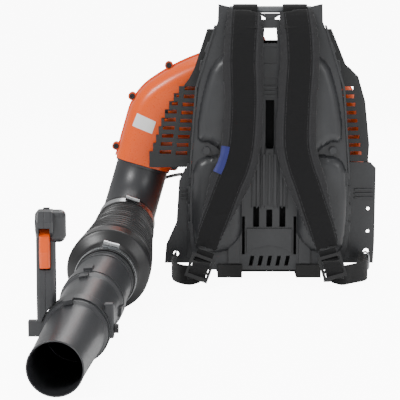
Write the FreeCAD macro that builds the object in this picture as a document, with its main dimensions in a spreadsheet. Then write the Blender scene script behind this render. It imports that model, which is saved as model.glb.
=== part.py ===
import FreeCAD, Part
import math
import operator
import os
import Sketcher
from FreeCAD import Placement, Rotation, Vector

# Backpack leaf blower, millimetres.  X to the right for someone facing the harness side,
# Y from the harness towards the engine, Z up.  The origin is on the floor under the fan.

os.makedirs("parts", exist_ok=True)
doc = FreeCAD.newDocument("backpack_blower")
sheet = doc.addObject("Spreadsheet::Sheet", "Sizes")

DRIVING = {
    "plate_front": 120.0, "plate_deep": 40.0, "plate_wall": 4.0, "plate_top": 488.0,
    "plate_foot": 14.0, "horn_top": 517.0, "bar_radius": 6.5, "bar_height": 507.0,
    "bar_back": 108.0, "bulge_proud": 13.0, "foot_wide": 47.0,
    "fan_height": 240.0, "case_half": 54.0, "case_wall": 2.5, "case_round": 30.0,
    "spiral_top": 192.0, "spiral_shrink": 12.0, "crown_radius": 394.0, "crown_turn": 35.0,
    "shoulder_radius": 114.0, "duct_lean": 16.0, "duct_long": 90.0, "duct_radius": 54.0,
    "intake_radius": 88.0, "rim_out": 4.0, "rim_thick": 3.0, "impeller_radius": 136.0,
    "blade_count": 11.0, "elbow_radius": 124.0, "elbow_turn": 57.3, "elbow_tail": 24.0,
    "elbow_tube": 51.0, "tube_wall": 2.0,
    "cuff_radius": 53.8, "band_wide": 12.0, "hose_rib": 59.0, "hose_root": 54.0,
    "hose_shoulder": 71.0, "collar_radius": 47.5, "ring_radius": 51.0, "front_radius": 46.0,
    "nozzle_root": 44.0, "nozzle_radius": 39.6, "collar_x": 290.0, "collar_y": 490.0,
    "collar_z": 66.0, "nozzle_x": 325.0, "nozzle_y": 985.0, "nozzle_z": 40.4,
    "handle_y": 790.0, "handle_x": 355.0, "handle_top": 226.5, "handle_wide": 27.0,
    "cable_radius": 3.5, "crank_height": 240.0, "crank_back": 104.0, "bore_radius": 24.0,
    "stroke": 36.0, "fin_count": 9.0, "tank_wide": 210.0, "tank_deep": 120.0,
    "tank_tall": 96.0, "strap_wide": 85.0, "strap_thick": 9.0, "web_wide": 38.0,
    "screw_head": 5.5, "screw_shank": 2.5,
}

for row, (alias, number) in enumerate(DRIVING.items(), start=1):
    sheet.set(f"A{row}", alias)
    sheet.set(f"B{row}", str(number))
    sheet.setAlias(f"B{row}", alias)
doc.recompute()


class Dim:
    """A size with both its number and the sheet expression that gives it."""

    def __init__(self, number, text=None):
        self.number = float(number)
        self.text = text if text else repr(self.number)
        self.bound = text is not None

    def join(self, sign, other, work):
        other = dim(other)
        result = Dim(work(self.number, other.number))
        if self.bound or other.bound:
            result.text = f"({self.text} {sign} {other.text})"
            result.bound = True
        return result

    def __add__(self, other):
        return self.join("+", other, operator.add)

    def __sub__(self, other):
        return self.join("-", other, operator.sub)

    def __mul__(self, other):
        return self.join("*", other, operator.mul)

    def __truediv__(self, other):
        return self.join("/", other, operator.truediv)

    def __neg__(self):
        return self * -1

    def __float__(self):
        return self.number


def dim(size):
    return size if isinstance(size, Dim) else Dim(size)


class Sizes:
    """Driving sizes by name, such as S.fan_height."""

    def __getattr__(self, alias):
        return Dim(DRIVING[alias], f"Sizes.{alias}")


S = Sizes()
SUBPARTS = []
FORWARD = Vector(0, -1, 0)
UP = Vector(0, 0, 1)


# ---- how pieces are drawn -------------------------------------------------------------------

def keep(item, label):
    """Mark a finished object as the sub-part of this name."""
    item.Label = label
    SUBPARTS.append(item)
    return item


def bind(item, field, size):
    size = dim(size)
    setattr(item, field, size.number)
    if size.bound:
        item.setExpression(field, size.text)


def place(item, at, facing=UP, spin=0.0):
    """Put local Z along facing, at a point whose coordinates may be sheet sizes."""
    turn = Rotation(UP, Vector(facing)) * Rotation(UP, spin)
    numbers = [dim(value) for value in at]
    item.Placement = Placement(Vector(*[value.number for value in numbers]), turn)
    for axis, value in zip("xyz", numbers):
        if value.bound:
            item.setExpression(f"Placement.Base.{axis}", value.text)
    return item


def box(wide, deep, tall, at, facing=UP, spin=0.0):
    """A box centred on its point in X and Y, standing on it in Z."""
    item = doc.addObject("Part::Box", "Block")
    bind(item, "Length", wide)
    bind(item, "Width", deep)
    bind(item, "Height", tall)
    turn = Rotation(UP, Vector(facing)) * Rotation(UP, spin)
    shift = turn.multVec(Vector(-float(wide) / 2, -float(deep) / 2, 0))
    item.Placement = Placement(Vector(*[float(value) for value in at]) + shift, turn)
    return item


def rod(radius, length, at, along=UP):
    item = doc.addObject("Part::Cylinder", "Rod")
    bind(item, "Radius", radius)
    bind(item, "Height", length)
    return place(item, at, along)


def torus(ring, section, at, along=UP):
    item = doc.addObject("Part::Torus", "Ring")
    bind(item, "Radius1", ring)
    bind(item, "Radius2", section)
    return place(item, at, along)


def join(items):
    if len(items) == 1:
        return items[0]
    item = doc.addObject("Part::MultiFuse", "Joined")
    item.Shapes = items
    item.Refine = True
    return item


def group(items):
    """Separate solids that share one node."""
    item = doc.addObject("Part::Compound", "Group")
    item.Links = items
    return item


def cut(base, tools):
    item = doc.addObject("Part::Cut", "Trimmed")
    item.Base = base
    item.Tool = tools[0] if len(tools) == 1 else group(tools)
    return item


def tube(outer, inner, length, at, along=UP):
    bore = rod(inner, dim(length) + 2, Vector(*[float(v) for v in at]) - unit(along), along)
    return cut(rod(outer, length, at, along), [bore])


def rounded(block, radius, wanted=lambda edge: True):
    """Round the picked edges of a primitive."""
    item = doc.addObject("Part::Fillet", "Rounded")
    item.Base = block
    doc.recompute()
    item.Edges = [(index, radius, radius) for index, edge in enumerate(block.Shape.Edges, start=1)
                  if wanted(edge)]
    return item


def unit(vector):
    vector = Vector(vector)
    return vector / vector.Length


def body(at=(0, 0, 0), facing=UP, spin=0.0):
    item = doc.addObject("PartDesign::Body", "Body")
    return place(item, at, facing, spin)


def sketch(owner, plane, offset=0.0):
    """A sketch on one of the body's own planes, moved along its normal."""
    item = owner.newObject("Sketcher::SketchObject", "Outline")
    planes = {feature.Role: feature for feature in owner.Origin.OriginFeatures}
    item.AttachmentSupport = [(planes[plane], "")]
    item.MapMode = "FlatFace"
    item.AttachmentOffset = Placement(Vector(0, 0, float(offset)), Rotation())
    return item


def hold(drawing, line, kind, size):
    """Fix one coordinate of a line's start, by the sheet where the size comes from it."""
    if size.number == 0:
        axis = -2 if kind == "DistanceX" else -1
        drawing.addConstraint(Sketcher.Constraint("PointOnObject", line, 1, axis))
        return
    place_in_list = drawing.addConstraint(
        Sketcher.Constraint(kind, -1, 1, line, 1, size.number))
    if size.bound:
        drawing.setExpression(f"Constraints[{place_in_list}]", size.text)


def polygon(drawing, points):
    """A closed outline whose every corner is held by its two distances from the origin."""
    corners = [(dim(across), dim(up)) for across, up in points]
    first = drawing.GeometryCount
    total = len(corners)
    spots = [Vector(across.number, up.number, 0) for across, up in corners]
    for index in range(total):
        drawing.addGeometry(Part.LineSegment(spots[index], spots[(index + 1) % total]), False)
    for index in range(total):
        follower = first + (index + 1) % total
        drawing.addConstraint(Sketcher.Constraint("Coincident", first + index, 2, follower, 1))
    for index, (across, up) in enumerate(corners):
        hold(drawing, first + index, "DistanceX", across)
        hold(drawing, first + index, "DistanceY", up)
    return drawing


def pad(owner, drawing, length, back=False, both=False):
    item = owner.newObject("PartDesign::Pad", "Pad")
    item.Profile = drawing
    item.Reversed = back
    item.Midplane = both
    bind(item, "Length", length)
    return item


def pocket(owner, drawing, depth, back=False):
    """Cut a sketch into its body and check that something was removed."""
    doc.recompute()
    before = owner.Shape.Volume
    item = owner.newObject("PartDesign::Pocket", "Pocket")
    item.Profile = drawing
    item.Reversed = back
    bind(item, "Length", depth)
    doc.recompute()
    if owner.Shape.Volume >= before:
        raise ValueError(f"a pocket in {owner.Name} cuts nothing")
    return item


def soften(owner, radius, wanted):
    """Round the edges that the test picks."""
    doc.recompute()
    tip = owner.Tip
    names = [f"Edge{n}" for n, edge in enumerate(tip.Shape.Edges, start=1) if wanted(edge)]
    item = owner.newObject("PartDesign::Fillet", "Round")
    item.Base = (tip, names)
    bind(item, "Radius", radius)
    doc.recompute()
    return item


def turned(points, at=(0, 0, 0), along=UP):
    """A piece turned about its own Z from (radius, height) points."""
    owner = body(at, along)
    drawing = polygon(sketch(owner, "XZ_Plane"), points)
    item = owner.newObject("PartDesign::Revolution", "Turned")
    item.Profile = drawing
    item.ReferenceAxis = (drawing, ["V_Axis"])
    item.Angle = 360
    return owner


def slab(points, thick, front):
    """An upright plate: outline in X and Z, front face at y = front, thick towards +Y."""
    owner = body((0, front, 0))
    pad(owner, polygon(sketch(owner, "XZ_Plane"), points), thick, back=True)
    return owner


def mirrored(points):
    """A closed outline from its right-hand half, listed from the bottom to the top."""
    return list(points) + [(-dim(across), up) for across, up in reversed(points)]


def rectangle(low_x, high_x, low_z, high_z):
    return [(low_x, low_z), (high_x, low_z), (high_x, high_z), (low_x, high_z)]


def screws(spots, facing, length=14.0):
    """Pan-head screws, heads at the spots, shanks pointing along facing."""
    made = []
    for spot in spots:
        head = rod(S.screw_head, 3.5, Vector(spot) - unit(facing) * 3.5, facing)
        socket = rod(2.2, 2.0, Vector(spot) - unit(facing) * 3.5, facing)
        shank = rod(S.screw_shank, length, spot, facing)
        made.append(cut(join([head, shank]), [socket]))
    return group(made)


# ---- where the air path runs -----------------------------------------------------------------

def lean():
    """Direction of the duct where it leaves the fan case."""
    tilt = math.radians(float(S.duct_lean))
    return Vector(-math.sin(tilt), 0, -math.cos(tilt))


def duct_mouth():
    """Middle of the duct's mouth: down from where the case's outer wall turns straight."""
    bend = math.radians(float(S.crown_turn))
    crown, small = float(S.crown_radius), float(S.shoulder_radius)
    top = float(S.fan_height) + CASE_RISE + float(S.spiral_top)
    turn = Vector(-math.sin(bend), 0, math.cos(bend)) * (crown - small)
    wall = Vector(0, 0, top - crown) + turn + OUTWARD * small + DUCT_DOWN * float(S.duct_long)
    return wall - OUTWARD * float(S.duct_radius)


CASE_RISE = 9.0
DUCT_DOWN = lean()
OUTWARD = Vector(DUCT_DOWN.z, 0, -DUCT_DOWN.x)
OUTLET = duct_mouth()


def elbow_end():
    turn = math.radians(float(S.elbow_turn))
    ring = float(S.elbow_radius)
    end = OUTLET + DUCT_DOWN * (ring * math.sin(turn)) + FORWARD * (ring * (1 - math.cos(turn)))
    heading = DUCT_DOWN * math.cos(turn) + FORWARD * math.sin(turn)
    return end, heading


BEND_END, HOSE_HEADING = elbow_end()
HOSE_START = BEND_END + HOSE_HEADING * float(S.elbow_tail)
COLLAR = Vector(-float(S.collar_x), -float(S.collar_y), float(S.collar_z))
NOZZLE_END = Vector(-float(S.nozzle_x), -float(S.nozzle_y), float(S.nozzle_z))
TUBE_AXIS = unit(NOZZLE_END - COLLAR)
TUBE_LONG = (NOZZLE_END - COLLAR).Length


def hose_point(part):
    """The hose's middle line: a cubic from the elbow to the collar, part from 0 to 1."""
    leave = HOSE_HEADING * 120.0
    arrive = TUBE_AXIS * 300.0
    square, cube = part ** 2, part ** 3
    return (HOSE_START * (2 * cube - 3 * square + 1) + leave * (cube - 2 * square + part)
            + COLLAR * (3 * square - 2 * cube) + arrive * (cube - square))


def along_tube(distance):
    return COLLAR + TUBE_AXIS * distance


# ---- harness side: back plate, feet, carrying bar --------------------------------------------

def back_plate():
    """Moulded back plate: a deep tray with two upper and two lower bulges for the back."""
    rim = [(128, S.plate_foot), (143, 34), (150, 70), (151, 140), (147, 220), (141, 310),
           (134, 361), (127, 408), (98, 484), (97, S.horn_top), (76, 512), (76, S.plate_top)]
    tray = slab(mirrored(rim), S.plate_deep, -S.plate_front)
    hollow = [(122, 20), (137, 38), (145, 72), (146, 140), (142, 219), (136, 309),
              (129, 360), (122, 406), (92, 482)]
    pocket(tray, polygon(sketch(tray, "XZ_Plane", -S.plate_deep), mirrored(hollow)),
           S.plate_deep - S.plate_wall, back=True)
    front = -float(S.plate_front)
    proud = S.bulge_proud
    upper = [(24, 262), (52, 252), (100, 250), (118, 268), (120, 330), (112, 385), (96, 404),
             (60, 408), (24, 400)]
    lower = [(62, 96), (100, 62), (128, 66), (134, 130), (131, 214), (110, 232), (72, 226),
             (58, 180)]
    pieces = [tray]
    for side in (-1, 1):
        for shape in (upper, lower):
            swell = slab([(side * across, up) for across, up in shape], proud,
                         front - float(proud))
            soften(swell, proud * 0.7, lambda edge: abs(edge.CenterOfMass.y) < 0.1)
            pieces.append(swell)
        pieces.append(rod(7.0, 8.0, (side * 119, front - 8, 243), (0, 1, 0)))
        pieces.append(slab(rectangle(side * 67 - 11, side * 67 + 11, 27, 70), 5.0, front - 5))
        pieces.append(rod(11.0, 5.0, (side * 67, front - 5, 70), (0, 1, 0)))
        line = slab([(side * 101, 478), (side * 105, 478), (side * 141, 361), (side * 152, 200),
                     (side * 149, 200), (side * 137, 361)], 3.0, front - 3)
        pieces.append(line)
    panel = slab([(-43, 46), (-30, 56), (0, 62), (30, 56), (43, 46), (43, 94), (-43, 94)],
                 3.0, front - 3)
    yoke = slab([(-9, 480), (9, 480), (9, 491), (24, 500), (-24, 500), (-9, 491)], 14.0,
                front + 4)
    pieces += [panel, yoke, rod(9.0, 8.0, (0, front + 4, 393), (0, 1, 0))]
    for level in (344, 352, 360):
        pieces.append(slab(rectangle(-14, 14, level, level + 4), 4.0, front - 2))
    for row in range(-2, 3):
        pieces.append(slab(rectangle(row * 11 - 2.5, row * 11 + 2.5, 138, 236), 4.0, front - 3))
    solid = join(pieces)
    window = slab([(-13, 444), (13, 444), (11, 472), (-11, 472)], 30.0, front - 10)
    slots = [slab(rectangle(across - 5.5, across + 5.5, 97, top), 30.0, front - 10)
             for across, top in ((-25, 136), (0, 130), (25, 136))]
    for across in (-49, 49):
        slots.append(slab(rectangle(across - 2.5, across + 2.5, 44, 117), 30.0, front - 10))
    for count in range(-2, 3):
        middle = count * 17.0
        slots.append(slab([(middle - 5, 22), (middle + 2, 22), (middle + 6, 41),
                           (middle - 1, 41)], 30.0, front - 10))
    slots.append(slab(rectangle(-8, 8, 246, 338), 30.0, front - 10))
    slots.append(slab(rectangle(-13, 13, 366, 380), 2.5, front - 0.5))
    slots.append(slab(rectangle(-13, 13, 406, 438), 2.5, front - 0.5))
    keep(cut(solid, [window] + slots), "back_plate")


def carrying_bar():
    """Grey tube between the plate's two horns, over which the shoulder straps fold."""
    span = 76.0
    keep(tube(S.bar_radius, S.bar_radius - 1.5, 2 * span, (-span, -S.bar_back, S.bar_height),
              (1, 0, 0)), "carry_bar")


def feet():
    """Four rubber feet, the front pair with a lip up the plate."""
    made = []
    for side in (-1, 1):
        block = box(S.foot_wide, 54, 13.7, (side * 75, -95, 0))
        lip = box(S.foot_wide, 6, 25, (side * 75, -124, 0))
        bridge = box(S.foot_wide, 4, 13.7, (side * 75, -123, 0))
        made.append(join([block, bridge, lip]))
        made.append(box(40, 60, 7.7, (side * 88, 190, 0)))
    keep(group(made), "rubber_feet")


def base_frame():
    """Moulded base under the engine: two side rails, a cross tray and a rear bar."""
    rail = [(-79.5, 14), (-79.5, 46), (-40, 30), (205, 26), (228, 40), (236, 40), (236, 14),
            (222, 8), (120, 8), (60, 0), (-60, 0), (-66, 14)]
    made = []
    for side in (-1, 1):
        owner = body((side * 92, 0, 0))
        pad(owner, polygon(sketch(owner, "YZ_Plane"), rail), 16, both=True)
        made.append(owner)
    made.append(box(170, 116, 6, (0, 0, 0)))
    made.append(box(170, 14, 12, (0, 229, 20)))
    made.append(box(170, 22, 20, (0, -67, 14)))
    made.append(box(150, 20, 14, (0, -56, 0)))
    keep(join(made), "base_frame")


def side_brackets():
    """Wings beside the plate with the hip-belt holes, left and right."""
    right = [(150.4, 20), (203, 20), (205, 60), (206, 205), (196, 216), (152, 216), (152, 140),
             (151, 70)]
    left = [(-150.4, 20), (-200, 20), (-197, 56), (-177, 100), (-172, 180), (-160, 205),
            (-152, 205), (-152, 140), (-151, 70)]
    for side, outline, eye, name in ((-1, left, (-178, 38), "side_bracket_left"),
                                     (1, right, (189, 43), "side_bracket_right")):
        wing = slab(outline, 5.0, -79.0)
        ribs = [box(36 if side > 0 else 12, 5, 3, (side * (183 if side > 0 else 163), -80, level))
                for level in (146, 154, 162)]
        foot = box(53.6, 24, 12, (side * 127, -67.5, 20))
        holes = [rod(5.5, 30, (eye[0], -90, eye[1]), (0, 1, 0))]
        if side > 0:
            holes += [rod(3.25, 30, (192, -90, level), (0, 1, 0)) for level in (82, 126)]
        keep(cut(join([wing, foot] + ribs), holes), name)


def grilles():
    """Louvred intake guards that fill the gap between the back plate and the fan case."""
    left = [(-118, 470), (-101, 470), (-128, 396), (-143, 300), (-150, 206), (-229, 206),
            (-229, 236), (-222, 236), (-222, 252), (-216, 252), (-216, 268), (-211, 268),
            (-211, 284), (-206, 284), (-206, 300), (-199, 300), (-199, 316), (-191, 316),
            (-191, 332), (-182, 332), (-182, 347), (-172, 347), (-172, 361), (-163, 361),
            (-152, 376), (-142, 396)]
    right = [(118, 470), (101, 470), (128, 396), (143, 300), (150, 217), (191, 217), (193, 250),
             (184, 333), (170, 380), (152, 398), (146, 402)]
    for side, outline, name in ((-1, left, "intake_grille_left"), (1, right, "intake_grille_right")):
        skin = slab(outline, 18.0, -77.5)
        relief = slab([(across * 0.975 - side * 1.0, 222 + (up - 222) * 0.975)
                       for across, up in outline], 16.0, -74.5)
        slots = []
        for row in range(9):
            level = 230 + row * 15.5
            inner = 153 - row * 2.2
            slots.append(box(22, 20, 7, (side * (inner + 14), -72, level)))
            if side < 0 and row < 8:
                slots.append(box(22, 20, 7, (side * (inner + 45), -72, level + 2)))
        keep(cut(skin, [join([relief] + slots)]), name)


# ---- fan case ---------------------------------------------------------------------------------

def case_outline(inset):
    """Tangent arcs and lines round the spiral case and its duct, all moved inwards by inset."""
    height = float(S.fan_height) + CASE_RISE
    big, step = float(S.spiral_top), float(S.spiral_shrink)
    crown, small = float(S.crown_radius), float(S.shoulder_radius)
    bend, tilt = float(S.crown_turn), float(S.duct_lean)
    down = Vector(DUCT_DOWN.x, DUCT_DOWN.z, 0)
    outward = Vector(OUTWARD.x, OUTWARD.z, 0)
    mouth = Vector(OUTLET.x, OUTLET.z, 0)
    reach = float(S.duct_radius) - inset
    crown_middle = Vector(0, height + big - crown, 0)
    turn_middle = crown_middle + polar(crown - small, 90 + bend)
    wall_start = turn_middle + outward * (small - inset)
    outer_end, inner_end = mouth + outward * reach, mouth - outward * reach
    nose_low = Vector(step - (big - 2 * step) + inset, height - step, 0)
    slant = inner_end + down * ((nose_low.y - inner_end.y) / down.y)
    share = math.cos(math.radians(tilt))
    nose = (nose_low.x - slant.x) * share / (1 + share)
    nose_middle = nose_low - Vector(nose, 0, 0)
    nose_high = nose_middle + outward * nose
    return [arc(crown_middle, crown - inset, 90, 90 + bend),
            arc(turn_middle, small - inset, 90 + bend, 180 - tilt),
            Part.LineSegment(wall_start, outer_end),
            Part.LineSegment(outer_end, inner_end),
            Part.LineSegment(inner_end, nose_high),
            arc(nose_middle, nose, 0, 180 - tilt),
            arc(Vector(step, height - step, 0), big - 2 * step - inset, 180, 270),
            arc(Vector(step, height, 0), big - step - inset, 270, 360),
            arc(Vector(0, height, 0), big - inset, 0, 90)]


def polar(reach, angle):
    turn = math.radians(angle)
    return Vector(math.cos(turn), math.sin(turn), 0) * reach


def arc(middle, radius, start, stop):
    """An arc from its middle, radius and two angles in degrees."""
    return Part.Arc(*[middle + polar(radius, angle)
                      for angle in (start, (start + stop) / 2, stop)])


def link_ends(drawing):
    """Tie each line of a closed outline to the next where their ends meet."""
    count = drawing.GeometryCount
    for index in range(count):
        follower = (index + 1) % count
        pairs = [(drawing.getPoint(index, here).distanceToPoint(
            drawing.getPoint(follower, there)), here, there) for here in (1, 2)
                 for there in (1, 2)]
        gap, here, there = min(pairs)
        drawing.addConstraint(Sketcher.Constraint("Coincident", index, here, follower, there))


def case_block(inset, half, side):
    """One half of the case as a solid with rounded outer edges; side -1 is the front half."""
    owner = body((0, 0, 0))
    drawing = sketch(owner, "XZ_Plane")
    drawing.addGeometry(case_outline(inset), False)
    link_ends(drawing)
    pad(owner, drawing, half, back=side > 0)
    level = side * float(half)

    def outer(edge):
        on_face = all(abs(vertex.Y - level) < 0.01 for vertex in edge.Vertexes)
        straight_mouth = abs(edge.CenterOfMass.z - OUTLET.z) < 3 and edge.CenterOfMass.x < -200
        return on_face and not straight_mouth

    soften(owner, S.case_round - inset, outer)
    return owner


BOSS_STATIONS = ((0, 0.82), (1, 0.62), (2, 0.80), (4, 0.20), (6, 0.5), (7, 0.1), (7, 0.85),
                 (8, 0.55), (0, 0.05))


def flange_spots():
    """Screw positions round the rim, a little outside the case's wall."""
    outline = case_outline(0.0)
    spots = []
    for index, share in BOSS_STATIONS:
        curve = outline[index]
        edge = curve.toShape()
        at = edge.FirstParameter + share * (edge.LastParameter - edge.FirstParameter)
        point, heading = edge.valueAt(at), edge.tangentAt(at)
        outside = Vector(heading.y, -heading.x, 0)
        spots.append(Vector(point.x + outside.x * 6.4, 0, point.y + outside.y * 6.4))
    return spots


def rim(side):
    """Thin flange where the two halves meet, open over the inside of the case."""
    owner = body((0, 0, 0))
    drawing = sketch(owner, "XZ_Plane")
    drawing.addGeometry(case_outline(-S.rim_out.number), False)
    link_ends(drawing)
    pad(owner, drawing, S.rim_thick, back=side > 0)
    inner = body((0, 0, 0))
    drawing = sketch(inner, "XZ_Plane")
    drawing.addGeometry(case_outline(S.case_wall.number / 2), False)
    link_ends(drawing)
    pad(inner, drawing, S.rim_thick + 1, back=side > 0)
    return cut(owner, [inner])


def fan_case():
    """Spiral case in two halves, screwed together round a narrow rim."""
    middle = (0, 0, S.fan_height)
    for side, name in ((-1, "fan_case_front"), (1, "fan_case_rear")):
        shell = cut(case_block(0.0, S.case_half, side),
                    [case_block(float(S.case_wall), S.case_half - S.case_wall, side)])
        facing = (0, side, 0)
        bosses = [rod(8.0, 11.0, spot, facing) for spot in flange_spots()]
        tools = [rod(2.6, 20.0, spot - Vector(0, side, 0), facing) for spot in flange_spots()]
        extra = []
        if side < 0:
            tools.append(rod(S.intake_radius, 20.0, (0, -float(S.case_half) + 12, 240), facing))
            extra.append(tube(S.intake_radius + 4, S.intake_radius, 6.0,
                              (0, -float(S.case_half) - 3, 240), (0, 1, 0)))
        else:
            tools.append(rod(22.0, 20.0, (0, float(S.case_half) - 12, 240), facing))
            for angle in range(45, 360, 90):
                spoke = Vector(math.cos(math.radians(angle)), 0, math.sin(math.radians(angle)))
                spot = Vector(0, 53.0, 240) + spoke * 60.0
                extra.append(rod(9.0, 8.0, spot, facing))
            for across in (-70, 70):
                foot = box(24, 30, 60, (across, 20, 36.4))
                extra.append(cut(foot, [case_block(float(S.case_wall) / 2,
                                                   S.case_half - S.case_wall, side)]))
        inside = case_block(float(S.case_wall) / 2, S.case_half - S.case_wall, side)
        outside = cut(join(bosses), [inside])
        keep(cut(join([shell, outside, rim(side)] + extra), [join(tools)]), name)
    spots = [spot + Vector(0, -11.1, 0) for spot in flange_spots()]
    keep(screws(spots, (0, 1, 0), 21.0), "case_screws")


def impeller():
    """Fan wheel: back disc, hub and backward-leaning blades under a thin front ring."""
    centre = (0, -18, S.fan_height)
    radius = float(S.impeller_radius)
    disc = turned([(9, 16), (radius, 16), (radius, 19), (30, 19), (24, 46), (9, 46)], centre,
                  (0, 1, 0))
    ring = turned([(92, -30), (radius, -20), (radius, -17.5), (92, -27.5)], centre, (0, 1, 0))
    pieces = [disc, ring]
    count = int(float(S.blade_count))
    for index in range(count):
        owner = body(centre, (0, 1, 0), 360.0 * index / count)
        blade = sketch(owner, "XY_Plane", -28.0)
        polygon(blade, [(60, -1.2), (98, 14), (133, 40), (132, 43), (96, 17.5), (59, 1.2)])
        pad(owner, blade, 45.0)
        pieces.append(owner)
    keep(join(pieces), "impeller")


# ---- air path ---------------------------------------------------------------------------------

def elbow_run(radius, label):
    """The elbow's spigot, bend and tail as one round bar of this radius."""
    turn, ring = math.radians(float(S.elbow_turn)), float(S.elbow_radius)
    start = OUTLET - DUCT_DOWN * 14
    centre = OUTLET + FORWARD * ring
    halfway = centre + (FORWARD * -math.cos(turn / 2) + DUCT_DOWN * math.sin(turn / 2)) * ring
    edges = [Part.LineSegment(start, OUTLET).toShape(),
             Part.Arc(OUTLET, halfway, BEND_END).toShape(),
             Part.LineSegment(BEND_END, HOSE_START).toShape()]
    section = Part.Wire(Part.makeCircle(float(radius), start, DUCT_DOWN))
    item = doc.addObject("Part::Feature", label)
    item.Shape = Part.Wire(edges).makePipeShell([section], True, False)
    return item


def elbow_pipe():
    """Grey elbow that swivels in the duct mouth: spigot, bend, flange ring and cable clip."""
    outside = elbow_run(S.elbow_tube, "ElbowOutside")
    collar = rod(S.elbow_tube + 3, 5.0, OUTLET + DUCT_DOWN * 0.4, DUCT_DOWN)
    clip = box(12, 14, 14, OUTLET + DUCT_DOWN * 58 + Vector(0, 37, 0), DUCT_DOWN)
    inside = elbow_run(S.elbow_tube - S.tube_wall, "ElbowInside")
    keep(cut(join([outside, collar, clip]), [inside]), "elbow_pipe")


def band_clamp(middle, axis, radius, round_by, name):
    """Steel worm-drive clamp: thin band, screw housing on top and its screw."""
    axis = unit(axis)
    start = middle - axis * (float(S.band_wide) / 2)
    band = tube(dim(radius) + 1.0, radius, S.band_wide, start, axis)
    side = unit(axis.cross(UP))
    over = Rotation(axis, round_by).multVec(unit(side.cross(axis)))
    side = unit(axis.cross(over))
    seat = middle + over * (float(radius) + 1.6)
    housing = rod(5.0, 20.0, seat + over * 4 - side * 10, side)
    head = rod(5.5, 7.0, seat + over * 4 + side * 9.8, side)
    slot = box(1.2, 14, 3, seat + over * 4 + side * 15.5, side)
    keep(cut(join([band, housing, head]), [slot]), name)


def hose_ring(part, radius, lift=0.0):
    """A circle round the hose's middle line, lifted where the shoulder clears the floor."""
    ahead = hose_point(min(part + 0.004, 1.0))
    behind = hose_point(max(part - 0.004, 0.0))
    return Part.Wire(Part.makeCircle(radius, hose_point(part) + UP * lift, ahead - behind))


def bellows_hose():
    """Rubber bellows from the elbow to the collar: cuff, ribs, large shoulder and cuff."""
    cuff, rib, root = float(S.cuff_radius), float(S.hose_rib), float(S.hose_root)
    shoulder, collar = float(S.hose_shoulder), float(S.collar_radius) + 3.0
    stations = [(-1, cuff), (0.0, cuff), (0.085, cuff)]
    ribs = 17
    for index in range(ribs):
        start = 0.10 + index * 0.035
        stations += [(start, root), (start + 0.010, rib), (start + 0.022, rib),
                     (start + 0.030, root)]
    stations += [(0.72, rib + 1), (0.77, shoulder - 3), (0.80, shoulder), (0.85, shoulder),
                 (0.88, shoulder - 6), (0.885, collar + 3), (0.90, collar), (1.0, collar)]
    outer = []
    for part, radius in stations:
        if part < 0:
            back = HOSE_START - HOSE_HEADING * (float(S.elbow_tail) - 2)
            outer.append(Part.Wire(Part.makeCircle(radius, back, HOSE_HEADING)))
        else:
            outer.append(hose_ring(part, radius, max(0.0, radius - 64.0) * 0.75))
    skin = Part.makeLoft(outer, True, True)
    wide, narrow = float(S.elbow_tube) + 0.4, collar - 2.5
    bore = [Part.Wire(Part.makeCircle(wide, HOSE_START - HOSE_HEADING * 26, HOSE_HEADING))]
    bore += [hose_ring(share, wide + (narrow - wide) * share) for share in
             [0.07 * step for step in range(15)]]
    bore.append(Part.Wire(Part.makeCircle(narrow, COLLAR + TUBE_AXIS * 3, TUBE_AXIS)))
    hollow = Part.makeLoft(bore, True, True)
    item = doc.addObject("Part::Feature", "Bellows")
    item.Shape = skin.cut(hollow)
    keep(item, "bellows_hose")


def tube_piece(points, start, name, extra=()):
    """A thin tube turned from (distance, radius) points of its outside."""
    wall = float(S.tube_wall)
    outside = [(radius, distance) for distance, radius in points]
    inside = [(dim(radius) - wall, distance) for distance, radius in reversed(points)]
    owner = turned(outside + inside, along_tube(start), TUBE_AXIS)
    piece = join([owner] + list(extra)) if extra else owner
    keep(piece, name)


def side_lug(distance, radius, angle, long):
    """A small raised latch on the tube at an angle round it, 0 on the right, 90 on top."""
    side = unit(TUBE_AXIS.cross(UP)) * -1
    over = unit(TUBE_AXIS.cross(side)) * (1 if TUBE_AXIS.cross(side).z > 0 else -1)
    turn = math.radians(angle)
    out = side * math.cos(turn) + over * math.sin(turn)
    spot = along_tube(distance) + out * (float(radius) - 2.5)
    item = doc.addObject("Part::Box", "Latch")
    item.Length, item.Width, item.Height = 14.0, long, 7.0
    turn = Rotation(TUBE_AXIS.cross(out), TUBE_AXIS, out, "XYZ")
    item.Placement = Placement(spot - turn.multVec(Vector(7.0, 0, 0)), turn)
    return item


ENDS = {"control": (-14.0, 150.0), "front": (150.6, 312.4), "nozzle": (313.0, TUBE_LONG)}


def tubes():
    """Control tube, middle tube and nozzle, joined by bayonet rings."""
    low, high = ENDS["control"]
    collar, ring, front = S.collar_radius, S.ring_radius, S.front_radius
    tube_piece([(0, collar), (16, collar), (16.2, collar + 1.5), (22, collar + 1.5),
                (22.2, collar), (34, collar), (34.2, collar + 1.5), (40, collar + 1.5),
                (40.2, collar), (high - low - 34, collar), (high - low - 30, ring),
                (high - low, ring)], low, "control_tube",
               [side_lug(high - 26, ring, 96, 24.0)])
    low, high = ENDS["front"]
    tube_piece([(0, ring - 1), (8, ring - 1), (16, front + 0.5), (high - low - 46, front - 1),
                (high - low - 40, front + 0.5), (high - low, front + 0.5)], low, "front_tube",
               [side_lug(low + 6, front, 100, 22.0), side_lug(low + 4, front, -8, 26.0)])
    low, high = ENDS["nozzle"]
    root, end = S.nozzle_root, S.nozzle_radius
    tube_piece([(0, root + 4), (8, root + 4), (14, root), (high - low - 32, end),
                (high - low, end)], low, "nozzle", [side_lug(low + 1, root + 3, 100, 18.0)])


# ---- handle on the tube -----------------------------------------------------------------------

HANDLE_DISTANCE = (float(S.handle_y) - float(S.collar_y)) / -TUBE_AXIS.y


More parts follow.
